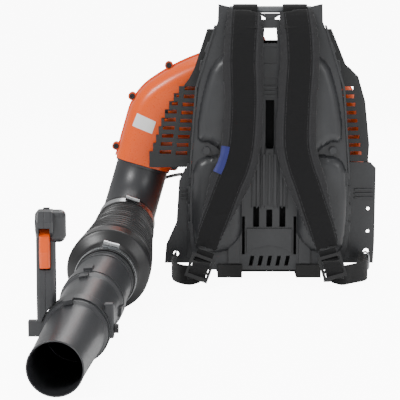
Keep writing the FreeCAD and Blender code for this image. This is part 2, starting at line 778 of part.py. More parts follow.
def handle():
    """Upright control handle clamped on the left of the tube."""
    middle = along_tube(HANDLE_DISTANCE)
    wide, top, spot = float(S.handle_wide), float(S.handle_top), -float(S.handle_x)
    back, level = -float(S.handle_y), along_tube(HANDLE_DISTANCE).z
    radius = 46.8
    strap = tube(radius + 3.4, radius, 22.0, middle - TUBE_AXIS * 11, TUBE_AXIS)
    foot = box(46, 15, 23, (spot - 4, back + 0.5, 40.5))
    gap = rod(radius, 60.0, middle - TUBE_AXIS * 30, TUBE_AXIS)
    ear = rounded(box(15, 15, 52, (middle.x + 47, back + 0.5, level - 13)), 3.0)
    hole = rod(2.6, 20, (middle.x + 40, back, level + 1), (1, 0, 0))
    keep(cut(join([strap, foot, ear]), [gap, hole]), "handle_clamp")
    bolt = cut(join([rod(2.5, 9, (middle.x + 47.5, back, level + 1), (1, 0, 0)),
                     rod(7.0, 6.0, (middle.x + 54.9, back, level + 1), (1, 0, 0))]),
               [rod(2.0, 3, (middle.x + 59, back, level + 1), (1, 0, 0))])
    keep(bolt, "clamp_knob")
    stem = [(-15, 63.8), (14, 63.8), (16, 100), (14, 140), (12, 186), (23, 196), (27, 212),
            (20, top), (-10, top), (-18, 212), (-17, 160), (-18, 108)]
    inner = wide / 2 - 2.4
    for side, name in ((-1, "handle_shell_left"), (1, "handle_shell_right")):
        owner = body((spot + side * 0.1, back, 0))
        pad(owner, polygon(sketch(owner, "YZ_Plane"), [(-across, up) for across, up in stem]),
            wide / 2 - 0.1, back=side < 0)
        soften(owner, 5.0, lambda edge, level=side * (wide / 2 - 0.1): all(
            abs(vertex.X - level) < 0.01 for vertex in edge.Vertexes))
        hollow = box(2 * inner, 18, 127, (spot, back - 1.8, 78))
        finger = box(15.6, 20, 62, (spot, back - 19.6, 140.5))
        pivot = rod(2.1, 30, (spot - 15, back - 8, 196), (1, 0, 0))
        slot = box(5.4, 18, 28, (spot, back + 18, 175))
        switch = box(9.4, 11, 13, (spot, back + 14, 214.3))
        if side > 0:
            owner = join([owner, rounded(box(26, 32, 46, (spot + wide / 2 + 2.6, back + 1, 180)),
                                         9.0)])
        away = [hollow, finger, slot, switch] + ([pivot] if side > 0 else [])
        away.append(rod(50.8, 80.0, middle - TUBE_AXIS * 40, TUBE_AXIS))
        shell = cut(owner, [join(away[:-1]), away[-1]])
        if side < 0:
            shell = join([shell, rod(2.0, wide - 6, (spot - wide / 2 + 1.4, back - 8, 196),
                                     (1, 0, 0))])
        keep(shell, name)
    owner = body((spot, back, 0))
    pad(owner, polygon(sketch(owner, "YZ_Plane"), [(-22, 144), (-8, 146), (-6, 188), (-4, 196),
                       (-8, 200), (-13, 197), (-23, 190), (-26, 168)]), 15.0, both=True)
    soften(owner, 4.0, lambda edge: edge.CenterOfMass.y < -18
           and abs(edge.CenterOfMass.x) > 6)
    keep(cut(owner, [rod(2.1, 30, (spot - 15, back - 8, 196), (1, 0, 0))]), "throttle_trigger")
    lever = join([box(5.0, 16, 6, (spot, back + 20, 194.5)), rod(4.5, 5.0,
                 (spot - 2.5, back + 16, 182), (1, 0, 0)), box(5.0, 6, 18, (spot, back + 16, 182))])
    keep(lever, "cruise_lever")
    keep(box(9.0, 10.4, 9.0, (spot, back + 14.2, 218.5)), "stop_switch")


def route(points, radius, turn_share=0.45):
    """A cable's path: straight runs joined by arcs, swept by a circle; prints its radii."""
    points = [Vector(*point) for point in points]
    edges = []
    radii = []
    begin = points[0]
    for index in range(1, len(points) - 1):
        before, here, after = points[index - 1], points[index], points[index + 1]
        into, out = unit(here - before), unit(after - here)
        turn = into.getAngle(out)
        reach = turn_share * min((here - before).Length, (after - here).Length)
        bend = reach / math.tan(turn / 2)
        radii.append(round(bend, 1))
        start, stop = here - into * reach, here + out * reach
        inward = unit(out - into)
        middle = here + inward * (bend / math.cos(turn / 2))
        edges.append(Part.LineSegment(begin, start).toShape())
        edges.append(Part.Arc(start, middle - inward * bend, stop).toShape())
        begin = stop
    edges.append(Part.LineSegment(begin, points[-1]).toShape())
    wire = Part.Wire(edges)
    section = Part.Wire(Part.makeCircle(radius, points[0], points[1] - points[0]))
    shape = wire.makePipeShell([section], True, False)
    wanted = math.pi * radius ** 2 * wire.Length
    print(f"cable {wire.Length:.0f} mm, radii {radii}, volume {shape.Volume / wanted:.3f}")
    return shape


REAR_CABLE = [(-166, -66, 190), (-166, -34, 187), (-167, 2, 183), (-177, 38, 178),
              (-201, 60, 170), (-230, 60, 158), (-250, 54, 138)]
FRONT_CABLE = [(-250.9, 53.6, 136.6), (-262, 42, 112), (-268, 22, 80), (-275, -10, 50),
               (-285, -50, 28), (-298, -95, 14.5), (-316, -150, 9), (-334, -206, 8),
               (-345, -264, 8), (-351, -322, 8), (-354, -380, 8.5), (-353, -438, 9.5),
               (-350, -496, 11), (-349, -548, 13), (-351, -600, 17), (-355, -652, 24),
               (-360, -700, 33), (-364, -742, 42), (-366, -778.6, 49)]


def cables():
    """Throttle cable in two runs, from the frame to the elbow clip and on to the handle."""
    for points, name in ((REAR_CABLE, "throttle_cable_rear"),
                         (FRONT_CABLE, "throttle_cable_front")):
        item = doc.addObject("Part::Feature", "Cable")
        item.Shape = route(points, float(S.cable_radius))
        keep(item, name)


# ---- engine -----------------------------------------------------------------------------------

def crank_set():
    """Crankshaft with two full webs, flywheel on its front end behind the fan."""
    height = S.crank_height
    back = float(S.crank_back)
    shaft = [rod(8.9, 62.0, (0, -4, height), (0, 1, 0)),
             rod(11.0, back - 12 - 58, (0, 58, height), (0, 1, 0)),
             rod(26.0, 9.0, (0, back - 12.0, height), (0, 1, 0)),
             rod(26.0, 9.0, (0, back + 6.0, height), (0, 1, 0)),
             rod(11.0, 12.5, (0, back + 15.0, height), (0, 1, 0))]
    keep(join(shaft), "crankshaft")
    wheel = turned([(11.1, 0), (38, 0), (48, 4), (48, 14), (42, 14), (38, 8), (20, 8), (20, 14),
                    (11.1, 14)], (0, 62.0, height), (0, 1, 0))
    keep(wheel, "flywheel")
    rod_low = rod(11.0, 8.0, (0, back - 2.5, float(height) + float(S.stroke) / 2), (0, 1, 0))
    crown = float(height) + float(S.stroke) / 2 + 62
    shank = box(9, 7, 62, (0, back + 1.5, float(height) + float(S.stroke) / 2))
    rod_high = rod(8.0, 8.0, (0, back - 2.5, crown), (0, 1, 0))
    bore = rod(7.0, 30.0, (0, back - 12, float(height) + float(S.stroke) / 2), (0, 1, 0))
    small = rod(5.05, 30.0, (0, back - 12, crown), (0, 1, 0))
    keep(cut(join([rod_low, shank, rod_high]), [bore, small]), "connecting_rod")
    crank_pin = rod(7.0, 8.4, (0, back - 2.7, float(height) + float(S.stroke) / 2), (0, 1, 0))
    keep(group([crank_pin, rod(5.0, 38.0, (0, back - 17.5, crown), (0, 1, 0))]), "rod_pins")
    skirt = turned([(float(S.bore_radius) - 3, -12), (float(S.bore_radius) - 3, 10), (0, 13),
                    (0, 18), (float(S.bore_radius) - 0.3, 16),
                    (float(S.bore_radius) - 0.3, -12)], (0, back + 1.5, crown))
    keep(cut(skirt, [rod(5.05, 60, (0, back - 28, crown), (0, 1, 0))]), "piston")
    return crown


def engine_block():
    """Crankcase, finned cylinder, spark plug with its cap, and the ignition coil."""
    height, back = float(S.crank_height), float(S.crank_back)
    middle = back + 1.5
    bore = float(S.bore_radius)
    drum = rod(36.0, 46.0, (0, middle - 23, height), (0, 1, 0))
    deck = box(64, 46, 30, (0, middle, height + 20))
    space = rod(30.5, 30.0, (0, middle - 15, height), (0, 1, 0))
    way = rod(bore, 60, (0, middle, height))
    shafts = rod(11.6, 60.0, (0, middle - 30, height), (0, 1, 0))
    arms = []
    for angle in range(45, 360, 90):
        out = Vector(math.cos(math.radians(angle)), 0, math.sin(math.radians(angle)))
        arms.append(rod(6.5, 31.0, Vector(0, 61.0, height) + out * 60, (0, 1, 0)))
        arms.append(box(9, 9, 30.0, Vector(0, middle - 18, height) + out * 30, out))
    keep(cut(join([drum, deck] + arms), [join([space, way, shafts])]), "crankcase")
    low = height + 50.0
    core = rod(bore + 5, 62.0, (0, middle, low))
    fins = [box(92, 44 if row < 3 else 78, 2.6, (0, middle, low + 8 + 6.2 * row))
            for row in range(int(float(S.fin_count)))]
    base = box(64, 46, 5, (0, middle, low))
    port = box(36, 22, 18, (0, middle + 37, low + 21))
    intake = box(20, 30, 22, (-44, middle, low + 11))
    hole = rod(bore, 57.0, (0, middle, low - 1))
    plug_way = rod(6.1, 20.0, (0, middle, low + 50))
    gas = rod(7.0, 40, (0, middle + 10, low + 30), (0, 1, 0))
    air = rod(8.0, 50, (-70, middle, low + 22), (1, 0, 0))
    keep(cut(join([core, base, port, intake] + fins), [join([hole, plug_way, gas, air])]),
         "cylinder")
    plug = turned([(2, 0), (6.0, 0), (6.0, 12), (9, 12), (9, 20), (5, 22), (5, 38), (2, 40)],
                  (0, middle, low + 51))
    keep(plug, "spark_plug")
    cap = turned([(5.2, 0), (10, 0), (11, 18), (8, 26), (0, 26), (0, 19), (5.2, 19)],
                 (0, middle, low + 73.5))
    keep(cap, "plug_cap")
    coil = join([box(26, 31, 34, (68, 69.6, height + 22)), box(12, 8, 46, (68, 74, height + 16))])
    keep(coil, "ignition_coil")
    return low


def exhaust_and_intake(low):
    """Silencer behind the cylinder, carburettor and air cleaner at its side."""
    middle = float(S.crank_back) + 1.5
    shell = rounded(box(96, 44, 74, (0, middle + 71, low + 21)), 8.0)
    gas_in = rod(7.0, 16, (0, middle + 44, low + 30), (0, 1, 0))
    tail = rod(9.0, 16, (32, middle + 87, low + 42), (0, 1, 0))
    inlet = box(40, 4, 16, (0, middle + 50.2, low + 22))
    muffler = cut(join([shell, tail, inlet]),
                  [gas_in, rod(7.0, 40, (32, middle + 77, low + 42), (0, 1, 0)),
                   box(86, 38, 62, (0, middle + 71, low + 27))])
    keep(muffler, "muffler")
    guard = rounded(box(108, 54, 84, (0, middle + 73, low + 17.2)), 9.0,
                    lambda edge: edge.CenterOfMass.y > middle + 90)
    inner = box(102, 54, 77, (0, middle + 69, low + 20.7))
    slots = [box(7, 30, 52, (across, middle + 100, low + 34)) for across in range(-42, 15, 12)]
    slots.append(rod(13.0, 30, (32, middle + 85, low + 42), (0, 1, 0)))
    keep(cut(guard, [join([inner] + slots)]), "muffler_guard")
    boot = cut(join([rod(13, 20, (-74.4, middle, low + 22), (1, 0, 0)),
                     rod(17, 4, (-58.5, middle, low + 22), (1, 0, 0))]),
               [rod(8, 30, (-80, middle, low + 22), (1, 0, 0))])
    keep(boot, "intake_boot")
    seat = cut(rod(13, 7, (-94, middle + 17.5, low + 14), (0, 1, 0)),
               [rod(11.4, 20, (-94, middle + 18.5, low + 14), (0, 1, 0))])
    flange = box(4, 84, 96, (-115, middle, low - 18))
    block = cut(join([box(38, 36, 40, (-94, middle, low + 3)), flange, seat,
                      rod(4, 20, (-94, middle + 10, low - 16))]),
                [rod(9, 60, (-120, middle, low + 22), (1, 0, 0))])
    keep(block, "carburettor")
    keep(turned([(0, 8), (8, 5), (11, 0), (11, -1.5), (8, -1.5), (6, 3), (0, 5)],
                (-94, middle + 25.6, low + 14), (0, 1, 0)), "primer_bulb")
    lever = join([rod(6, 4, (-94, middle - 22.5, low + 14), (0, 1, 0)),
                  box(8, 4, 34, (-94, middle - 20.5, low - 20))])
    keep(lever, "choke_lever")
    keep(box(18, 70, 80, (-127, middle, low - 10)), "filter_element")
    cover = box(26, 90, 102, (-130.8, middle, low - 21))
    soft = rounded(cover, 8.0, lambda edge: edge.CenterOfMass.x < -135)
    ribs = [box(3, 60, 3, (-145, middle, level)) for level in range(int(low), int(low + 60), 14)]
    keep(cut(join([soft] + ribs), [box(21, 84, 90, (-128, middle, low - 15)),
             rod(4.1, 40, (-150, middle, low + 30 + 18), (1, 0, 0))]), "filter_cover")
    knob = cut(join([rod(4.0, 11, (-147.5, middle, low + 48), (1, 0, 0)),
                     rod(15, 9, (-156, middle, low + 48), (1, 0, 0))]),
               [box(3, 40, 4, (-157.0, middle, low + 46), UP)])
    keep(knob, "filter_knob")


def starter():
    """Recoil starter behind the crankcase: housing, pulley, spring, rope and grip."""
    height, start = float(S.crank_height), 129.0
    cup = turned([(60, 0), (66, 0), (66, 34), (58, 42), (12, 42), (12, 38), (56, 38), (62, 32),
                  (62, 4), (60, 4)], (0, start, height), (0, 1, 0))
    post = rod(6.6, 36.0, (0, start + 3.4, height), (0, 1, 0))
    cup = join([cup, post, rod(14, 4, (0, start + 38, height), (0, 1, 0))])
    keep(cut(cup, [rod(3.2, 20, (52, start + 11, height + 28), (1, 0, 0)),
                   rod(30.5, 60, (0, start - 23.5, height + 40))]
             + [box(6, 20, 34, (36 * math.cos(a), start + 32, height + 36 * math.sin(a) - 17))
                for a in (0.8, 2.0, 3.1, 4.2, 5.4)]), "starter_housing")
    pulley = turned([(7, 0), (34, 0), (34, 3), (28, 6), (28, 10), (34, 13), (34, 16), (7, 16)],
                    (0, start + 3, height), (0, 1, 0))
    keep(pulley, "starter_pulley")
    rope_height = height + 28.0
    rope = rod(2.0, 55.0, (13, start + 11, rope_height), (1, 0, 0))
    keep(rope, "starter_rope")
    grip = cut(rounded(box(12, 16, 60, (78, start + 11, rope_height - 30)), 4.0),
               [rod(2.2, 20, (65, start + 11, rope_height), (1, 0, 0))])
    keep(grip, "starter_grip")


def tank_and_cover():
    """Fuel tank under the engine with its cap, and the cover over the engine."""
    wide, deep, tall = S.tank_wide, S.tank_deep, S.tank_tall
    soft = rounded(box(wide, deep, tall, (0, 150, 33)), 14.0)
    neck = rod(22, 15.8, (-78, 186, 124))
    hollow = rounded(box(wide - 6, deep - 6, tall - 6, (0, 150, 36)), 11.0)
    keep(cut(join([soft, neck]), [hollow, rod(18, 40, (-78, 186, 110))]), "fuel_tank")
    cap = cut(join([rod(26, 12, (-78, 186, 140))] + [box(4, 54, 9, (-78, 186, 141.5), UP, angle)
                                                      for angle in (0, 45, 90, 135)]),
              [rod(19, 3, (-78, 186, 139))])
    keep(cap, "fuel_cap")
    height = float(S.crank_height)
    roof = [(-104, 316), (-98, 400), (-78, 424), (-40, 434), (40, 434), (78, 424), (98, 400),
            (104, 316)]
    owner = slab(roof, 92.0, 60.0)
    soften(owner, 14.0, lambda edge: abs(edge.CenterOfMass.y - 92) < 0.1
           and edge.CenterOfMass.z > 330)
    inside = slab([(across * 0.965, up - 4 if up > 320 else up - 6) for across, up in roof],
                  86.0, 63.0)
    soften(inside, 12.0, lambda edge: abs(edge.CenterOfMass.y - 86) < 0.1
           and edge.CenterOfMass.z > 330)
    vents = [box(30, 7, 44, (104, along, 344)) for along in range(76, 140, 13)]
    vents.append(box(120, 20, 84, (0, 150, 308)))
    away = box(60, 110, 96, (-118, float(S.crank_back), 264))
    keep(cut(owner, [join([inside] + vents + [away])]), "engine_cover")
    posts = []
    for side in (-1, 1):
        posts.append(rod(8, 5.0, (side * 92, 150, 27.6)))
        posts.append(rod(10, 30.0, (side * 70, 20, 6.2)))
    keep(group(posts), "rubber_mounts")


# ---- harness ----------------------------------------------------------------------------------

FOLD = [(9.5, -20), (9.5, 22), (9.5, 56), (9.5, 90), (9.5, 124), (9.5, 158)]


def strap_stations(spine):
    """(x, y, z, width, thickness) along a strap: a fold round the bar, then the padded run."""
    side = spine[0][0]
    stations = []
    for reach, angle in FOLD:
        turn = math.radians(angle)
        stations.append((side, -float(S.bar_back) + reach * math.cos(turn),
                         float(S.bar_height) + reach * math.sin(turn), 44.0, 3.0))
    for x, y, z, width, thick in spine:
        stations.append((x, y, z, width, thick))
    return stations


def strap_solid(stations):
    """Ruled loft through flat sections square to the strap's run."""
    sections = []
    for index, (x, y, z, width, thick) in enumerate(stations):
        before = Vector(*stations[max(index - 1, 0)][:3])
        after = Vector(*stations[min(index + 1, len(stations) - 1)][:3])
        run = unit(after - before)
        across = unit(Vector(1, 0, 0) - run * run.x)
        normal = unit(run.cross(across))
        middle = Vector(x, y, z)
        corners = [middle + across * (width / 2 * a) + normal * (thick / 2 * b)
                   for a, b in ((-1, -1), (1, -1), (1, 1), (-1, 1))]
        sections.append(Part.makePolygon(corners + corners[:1]))
    return Part.makeLoft(sections, True, True)


def straps():
    """Padded shoulder straps, folded over the carrying bar at the top."""
    wide, thick = float(S.strap_wide), float(S.strap_thick)
    left = [(-47, -120, 496, 46, 4), (-49, -131, 478, wide, 7), (-52, -143, 408, wide, thick),
            (-50, -146, 340, wide, thick), (-54, -148, 262, wide, thick),
            (-64, -152, 215, wide, thick), (-88, -168, 140, wide, thick),
            (-108, -190, 88, 74, thick), (-120, -207, 66, 44, 5)]
    right = [(46, -120, 496, 46, 4), (50, -131, 478, wide, 7), (54, -143, 408, wide, thick),
             (50, -146, 340, wide, thick), (48, -148, 262, wide, thick),
             (57, -152, 215, wide, thick), (80, -168, 140, wide, thick),
             (96, -190, 88, 74, thick), (103, -207, 66, 44, 5)]
    for spine, name in ((left, "shoulder_strap_left"), (right, "shoulder_strap_right")):
        item = doc.addObject("Part::Feature", "Strap")
        item.Shape = strap_solid(strap_stations(spine))
        keep(item, name)


BUCKLES = {-1: Vector(-132, -219, 36), 1: Vector(112, -219, 38)}


def buckles():
    """Ladder-lock buckles and the webbing that runs back to the side brackets."""
    made = []
    webs = []
    for side, middle in BUCKLES.items():
        top = Vector(-121.5, -210.5, 62.5) if side < 0 else Vector(104.5, -210.5, 62.5)
        down = unit(middle - top)
        across = unit(Vector(1, 0, 0) - down * down.x)
        normal = down.cross(across)
        turn = Rotation(across, down * -1, normal * -1, "XYZ")
        frame = doc.addObject("Part::Box", "Frame")
        frame.Length, frame.Width, frame.Height = 44.0, 46.0, 5.0
        frame.Placement = Placement(middle + turn.multVec(Vector(-22, -23, -2.5)), turn)
        holes = []
        for low in (-16, -3.5, 9):
            hole = doc.addObject("Part::Box", "Slot")
            hole.Length, hole.Width, hole.Height = 34.0, 8.0, 9.0
            hole.Placement = Placement(middle + turn.multVec(Vector(-17, low, -4.5)), turn)
            holes.append(hole)
        made.append(cut(frame, holes))
        wide = float(S.web_wide) * 0.8
        reach = 174 if side < 0 else 172
        stations = [(middle.x - side * 2, -208, 22, wide, 2.0),
                    (middle.x + side * 2, -196, 9, wide, 2.0),
                    (middle.x + side * 12, -170, 6, wide, 2.0),
                    (side * 152, -142, 8, wide * 0.8, 2.0),
                    (side * (reach - 8), -112, 16, wide * 0.6, 2.0),
                    (side * reach, -94, 27, wide * 0.5, 2.0),
                    (side * (reach + 2), -84, 36, wide * 0.5, 2.0)]
        item = doc.addObject("Part::Feature", "Webbing")
        item.Shape = strap_solid(stations)
        webs.append(item)
    keep(group(made), "strap_buckles")
    keep(group(webs), "strap_webbing")


def belt_ring():
    """Long wire link hanging in the eye of the right-hand wing."""
    across, high, low, reach = Vector(-0.53, 0.85, 0).normalize(), 31.3, 16.0, 10.0
    eye = Vector(189, -76.5, 0)
    corners = [eye + across * reach + UP * high, eye - across * reach + UP * high,
               eye - across * reach + UP * low, eye + across * reach + UP * low]
    edges = [Part.Arc(corners[0], eye + UP * (high + reach), corners[1]).toShape(),
             Part.LineSegment(corners[1], corners[2]).toShape(),
             Part.Arc(corners[2], eye + UP * (low - reach), corners[3]).toShape(),
             Part.LineSegment(corners[3], corners[0]).toShape()]
    section = Part.Wire(Part.makeCircle(1.8, corners[1], UP))
    item = doc.addObject("Part::Feature", "Link")
    item.Shape = Part.Wire(edges).makePipeShell([section], True, False)
    keep(item, "belt_ring")


# ---- build and write --------------------------------------------------------------------------

def check_and_write():
    doc.recompute()
    faults = [item.Label for item in doc.Objects
              if "Invalid" in item.State or "Error" in item.State]
    for item in SUBPARTS:
        if item.Shape.isNull() or not item.Shape.isValid() or item.Shape.Volume <= 0:
            faults.append(item.Label + " shape")
    if faults:
        raise ValueError(f"these failed: {faults}")
    for item in SUBPARTS:
        item.Shape.exportStep(f"parts/{item.Label}.step")
        print(item.Label, len(item.Shape.Solids), round(item.Shape.Volume / 1000, 1))


back_plate()
carrying_bar()
feet()
base_frame()
side_brackets()
grilles()
fan_case()
impeller()
elbow_pipe()
band_clamp(HOSE_START - HOSE_HEADING * 9, HOSE_HEADING, S.cuff_radius + 0.5, -22,
           "hose_clamp_upper")
bellows_hose()
band_clamp(COLLAR - TUBE_AXIS * 14, TUBE_AXIS, S.collar_radius + 3.6, -14, "hose_clamp_lower")
tubes()
handle()
cables()
crank_set()
cylinder_low = engine_block()
exhaust_and_intake(cylinder_low)
starter()
tank_and_cover()
straps()
buckles()
belt_ring()
check_and_write()
print(len(SUBPARTS), "sub-parts")
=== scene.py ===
import math

import bpy
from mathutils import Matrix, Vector


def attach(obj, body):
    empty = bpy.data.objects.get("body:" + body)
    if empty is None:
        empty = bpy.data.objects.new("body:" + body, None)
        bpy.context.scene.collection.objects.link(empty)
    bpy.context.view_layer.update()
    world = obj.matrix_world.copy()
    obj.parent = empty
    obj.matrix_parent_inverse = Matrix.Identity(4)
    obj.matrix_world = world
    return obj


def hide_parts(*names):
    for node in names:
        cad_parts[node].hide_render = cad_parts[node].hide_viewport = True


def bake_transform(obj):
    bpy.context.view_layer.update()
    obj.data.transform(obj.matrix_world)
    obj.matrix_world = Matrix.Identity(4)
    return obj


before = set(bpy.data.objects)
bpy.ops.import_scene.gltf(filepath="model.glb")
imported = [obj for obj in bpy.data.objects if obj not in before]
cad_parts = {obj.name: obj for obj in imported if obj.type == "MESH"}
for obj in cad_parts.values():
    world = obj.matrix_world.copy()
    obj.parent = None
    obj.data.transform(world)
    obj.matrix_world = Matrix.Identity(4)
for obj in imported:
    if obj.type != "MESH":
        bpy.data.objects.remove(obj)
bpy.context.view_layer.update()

mm = 0.001


# ---- Camera, floor and light ------------------------------------------------------------------
# A plain pale studio floor under big soft lights, seen by a long lens a little above the
# blower's top.  None of it belongs to the blower.

CAMERA_PLACE = (-0.1316, -2.920, 0.534)
CAMERA_DIP = 7.84
LENS_MM = 134.1


def linear(colour):
    """An sRGB hex colour as the linear values that Blender's sockets take."""
    parts = [int(colour[place:place + 2], 16) / 255 for place in (1, 3, 5)]
    return [part / 12.92 if part <= 0.04045 else ((part + 0.055) / 1.055) ** 2.4
            for part in parts] + [1.0]


def add(tree, kind, settings, links=None):
    """Add one node, set its properties or sockets, and link other nodes' outputs to it."""
    made = tree.nodes.new(kind)
    for name, value in settings.items():
        if isinstance(name, str) and hasattr(made, name):
            setattr(made, name, value)
        else:
            made.inputs[name].default_value = value
    for name, source in (links or {}).items():
        tree.links.new(source, made.inputs[name])
    return made


def new_material(name):
    """An empty material, its tree and its Object coordinates."""
    material = bpy.data.materials.new(name)
    material.use_nodes = True
    tree = material.node_tree
    tree.nodes.clear()
    place = add(tree, "ShaderNodeTexCoord", {}).outputs["Object"]
    return material, tree, place


def finish_surface(tree, shader):
    add(tree, "ShaderNodeOutputMaterial", {}, {"Surface": shader.outputs[0]})


camera = bpy.data.objects.new("studio_camera", bpy.data.cameras.new("studio_camera"))
bpy.context.scene.collection.objects.link(camera)
camera.location = CAMERA_PLACE
camera.rotation_euler = (math.radians(90 - CAMERA_DIP), 0, 0)
camera.data.lens = LENS_MM
camera.data.sensor_width = 36
camera.data.clip_end = 800
bpy.context.scene.camera = camera

bpy.ops.object.select_all(action="DESELECT")
bpy.ops.mesh.primitive_plane_add(size=600, location=(0, 0, -0.0005))
floor = bpy.context.object
floor.name = "studio_floor"

# Matt white studio paper lit from behind, so it stays white to the eye and casts little light.
paper, tree, place = new_material("white_studio_paper")
seen = add(tree, "ShaderNodeLightPath", {}).outputs["Is Camera Ray"]
glow = add(tree, "ShaderNodeMath", {"operation": "MULTIPLY_ADD", 1: 9.0, 2: 0.22}, {0: seen})
shade = add(tree, "ShaderNodeBsdfPrincipled",
            {"Base Color": linear("#fdfdfd"), "Roughness": 0.95, "Specular IOR Level": 0.1,
             "Emission Color": linear("#ffffff")}, {"Emission Strength": glow.outputs[0]})
finish_surface(tree, shade)
floor.data.materials.append(paper)

world = bpy.data.worlds.new("studio")
bpy.context.scene.world = world
world.use_nodes = True
world.node_tree.nodes["Background"].inputs["Color"].default_value = linear("#ffffff")
world.node_tree.nodes["Background"].inputs["Strength"].default_value = 0.55

SOFTBOXES = (("key", (-2.2, -2.6, 2.6), 1.0, 85), ("fill", (2.4, -2.8, 1.6), 1.4, 24),
             ("top", (0.0, 0.4, 3.0), 2.2, 50), ("back", (0.6, 2.8, 2.0), 2.0, 30))
for name, spot, size, power in SOFTBOXES:
    lamp = bpy.data.objects.new(f"softbox_{name}", bpy.data.lights.new(name, "AREA"))
    bpy.context.scene.collection.objects.link(lamp)
    lamp.location = spot
    lamp.rotation_euler = (Vector((-0.1, -0.3, 0.2)) - Vector(spot)).to_track_quat("-Z", "Y").to_euler()
    lamp.data.size = size
    lamp.data.energy = power


# ---- Throttle cable ---------------------------------------------------------------------------
# A black PVC-sheathed Bowden cable, 7 mm thick, in two runs: from the frame to the clip on the
# elbow, and on under the hose to the foot of the handle.

CABLE_THICK = 7 * mm
REAR_ROUTE = ((-166, -66, 190), (-166, -34, 187), (-167, 2, 183), (-177, 38, 178),
              (-201, 60, 170), (-230, 60, 158), (-250, 54, 138))
FRONT_ROUTE = ((-250.9, 53.6, 136.6), (-262, 42, 112), (-268, 22, 80), (-275, -10, 50),
               (-285, -50, 28), (-298, -95, 14.5), (-316, -150, 9), (-334, -206, 8),
               (-345, -264, 8), (-351, -322, 8), (-354, -380, 8.5), (-353, -438, 9.5),
               (-350, -496, 11), (-349, -548, 13), (-351, -600, 17), (-355, -652, 24),
               (-360, -700, 33), (-364, -742, 42), (-366, -781, 49.5))


def cable_path(route):
    """Points read along the smooth spline whose control points are the route's."""
    curve = bpy.data.curves.new("route", "CURVE")
    curve.dimensions = "3D"
    curve.resolution_u = 12
    spline = curve.splines.new("NURBS")
    spline.points.add(len(route) - 1)
    for point, (x, y, z) in zip(spline.points, route):
        point.co = (x * mm, y * mm, z * mm, 1)
    spline.order_u = 3
    spline.use_endpoint_u = True
    holder = bpy.data.objects.new("route", curve)
    bpy.context.scene.collection.objects.link(holder)
    bpy.context.view_layer.update()
    line = bpy.data.meshes.new_from_object(holder)
    points = [vertex.co.copy() for vertex in line.vertices]
    bpy.data.objects.remove(holder)
    return points


def sweep(name, points, ring_at, sides):
    """A closed tube of faces whose ring of points ring_at(step) gives, with capped ends."""
    mesh = bpy.data.meshes.new(name)
    rings = [ring_at(step) for step in range(len(points))]
    spots = [spot for ring in rings for spot in ring]
    faces = [(row * sides + side, row * sides + (side + 1) % sides,
              (row + 1) * sides + (side + 1) % sides, (row + 1) * sides + side)
             for row in range(len(points) - 1) for side in range(sides)]
    faces.append(tuple(reversed(range(sides))))
    faces.append(tuple((len(points) - 1) * sides + side for side in range(sides)))
    mesh.from_pydata(spots, [], faces)
    piece = bpy.data.objects.new(name, mesh)
    bpy.context.scene.collection.objects.link(piece)
    outward(piece)
    return piece


def select_only(piece):
    bpy.ops.object.select_all(action="DESELECT")
    piece.select_set(True)
    bpy.context.view_layer.objects.active = piece


def outward(piece):
    """Turn every face to the outside."""
    select_only(piece)
    bpy.ops.object.mode_set(mode="EDIT")
    bpy.ops.mesh.select_all(action="SELECT")
    bpy.ops.mesh.normals_make_consistent(inside=False)
    bpy.ops.object.mode_set(mode="OBJECT")


def frame_along(points, step):
    """Direction of a path at one point, with a level side vector and the one across both."""
    ahead = points[min(step + 1, len(points) - 1)]
    behind = points[max(step - 1, 0)]
    run = (ahead - behind).normalized()
    side = run.cross(Vector((0, 0, 1))).normalized()
    return run, side, side.cross(run)


def apply_all(piece):
    """Apply a piece's modifiers in order."""
    select_only(piece)
    for modifier in list(piece.modifiers):
        bpy.ops.object.modifier_apply(modifier=modifier.name)


def smooth(piece, angle=35):
    select_only(piece)
    bpy.ops.object.shade_smooth_by_angle(angle=math.radians(angle))


# Extruded PVC sheath: smooth, slightly glossy black, with the faint waviness of the die.
sheath, tree, place = new_material("black_extruded_pvc")
wave = add(tree, "ShaderNodeTexNoise", {"Scale": 1 / (12 * mm), "Detail": 2.0},
           {"Vector": place})
bump = add(tree, "ShaderNodeBump", {"Strength": 0.2, "Distance": 0.3 * mm},
           {"Height": wave.outputs["Fac"]})
shade = add(tree, "ShaderNodeBsdfPrincipled",
            {"Base Color": linear("#1b1b1c"), "Roughness": 0.42, "IOR": 1.53},
            {"Normal": bump.outputs[0]})
finish_surface(tree, shade)

front_path = cable_path(FRONT_ROUTE)
split = min(range(len(front_path)), key=lambda place: abs(front_path[place].y + 0.690))
for name, path, bodies, node in (
        ("throttle_cable_upper", cable_path(REAR_ROUTE), ("blower", "elbow"),
         "throttle_cable_rear"),
        ("throttle_cable_lower", front_path[:split + 1], ("elbow", "tube"),
         "throttle_cable_front"),
        ("throttle_cable_end", front_path[split:], ("tube", "handle"), None)):

    def cable_ring(step, path=path):
        run, side, over = frame_along(path, step)
        return [path[step] + (side * math.cos(turn) + over * math.sin(turn)) * CABLE_THICK / 2
                for turn in [math.tau * count / 16 for count in range(16)]]

    cable = sweep(name, path, cable_ring, 16)
    smooth(cable, 60)
    cable.data.materials.append(sheath)
    if node:
        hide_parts(node)
    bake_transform(cable)


# ---- Back plate, wings and grilles ------------------------------------------------------------
# Injection-moulded glass-filled nylon: the plate that rests on the back, the wings for the hip
# belt, the louvred intake guards and the base under the engine.  Fine spark-eroded mould grain.


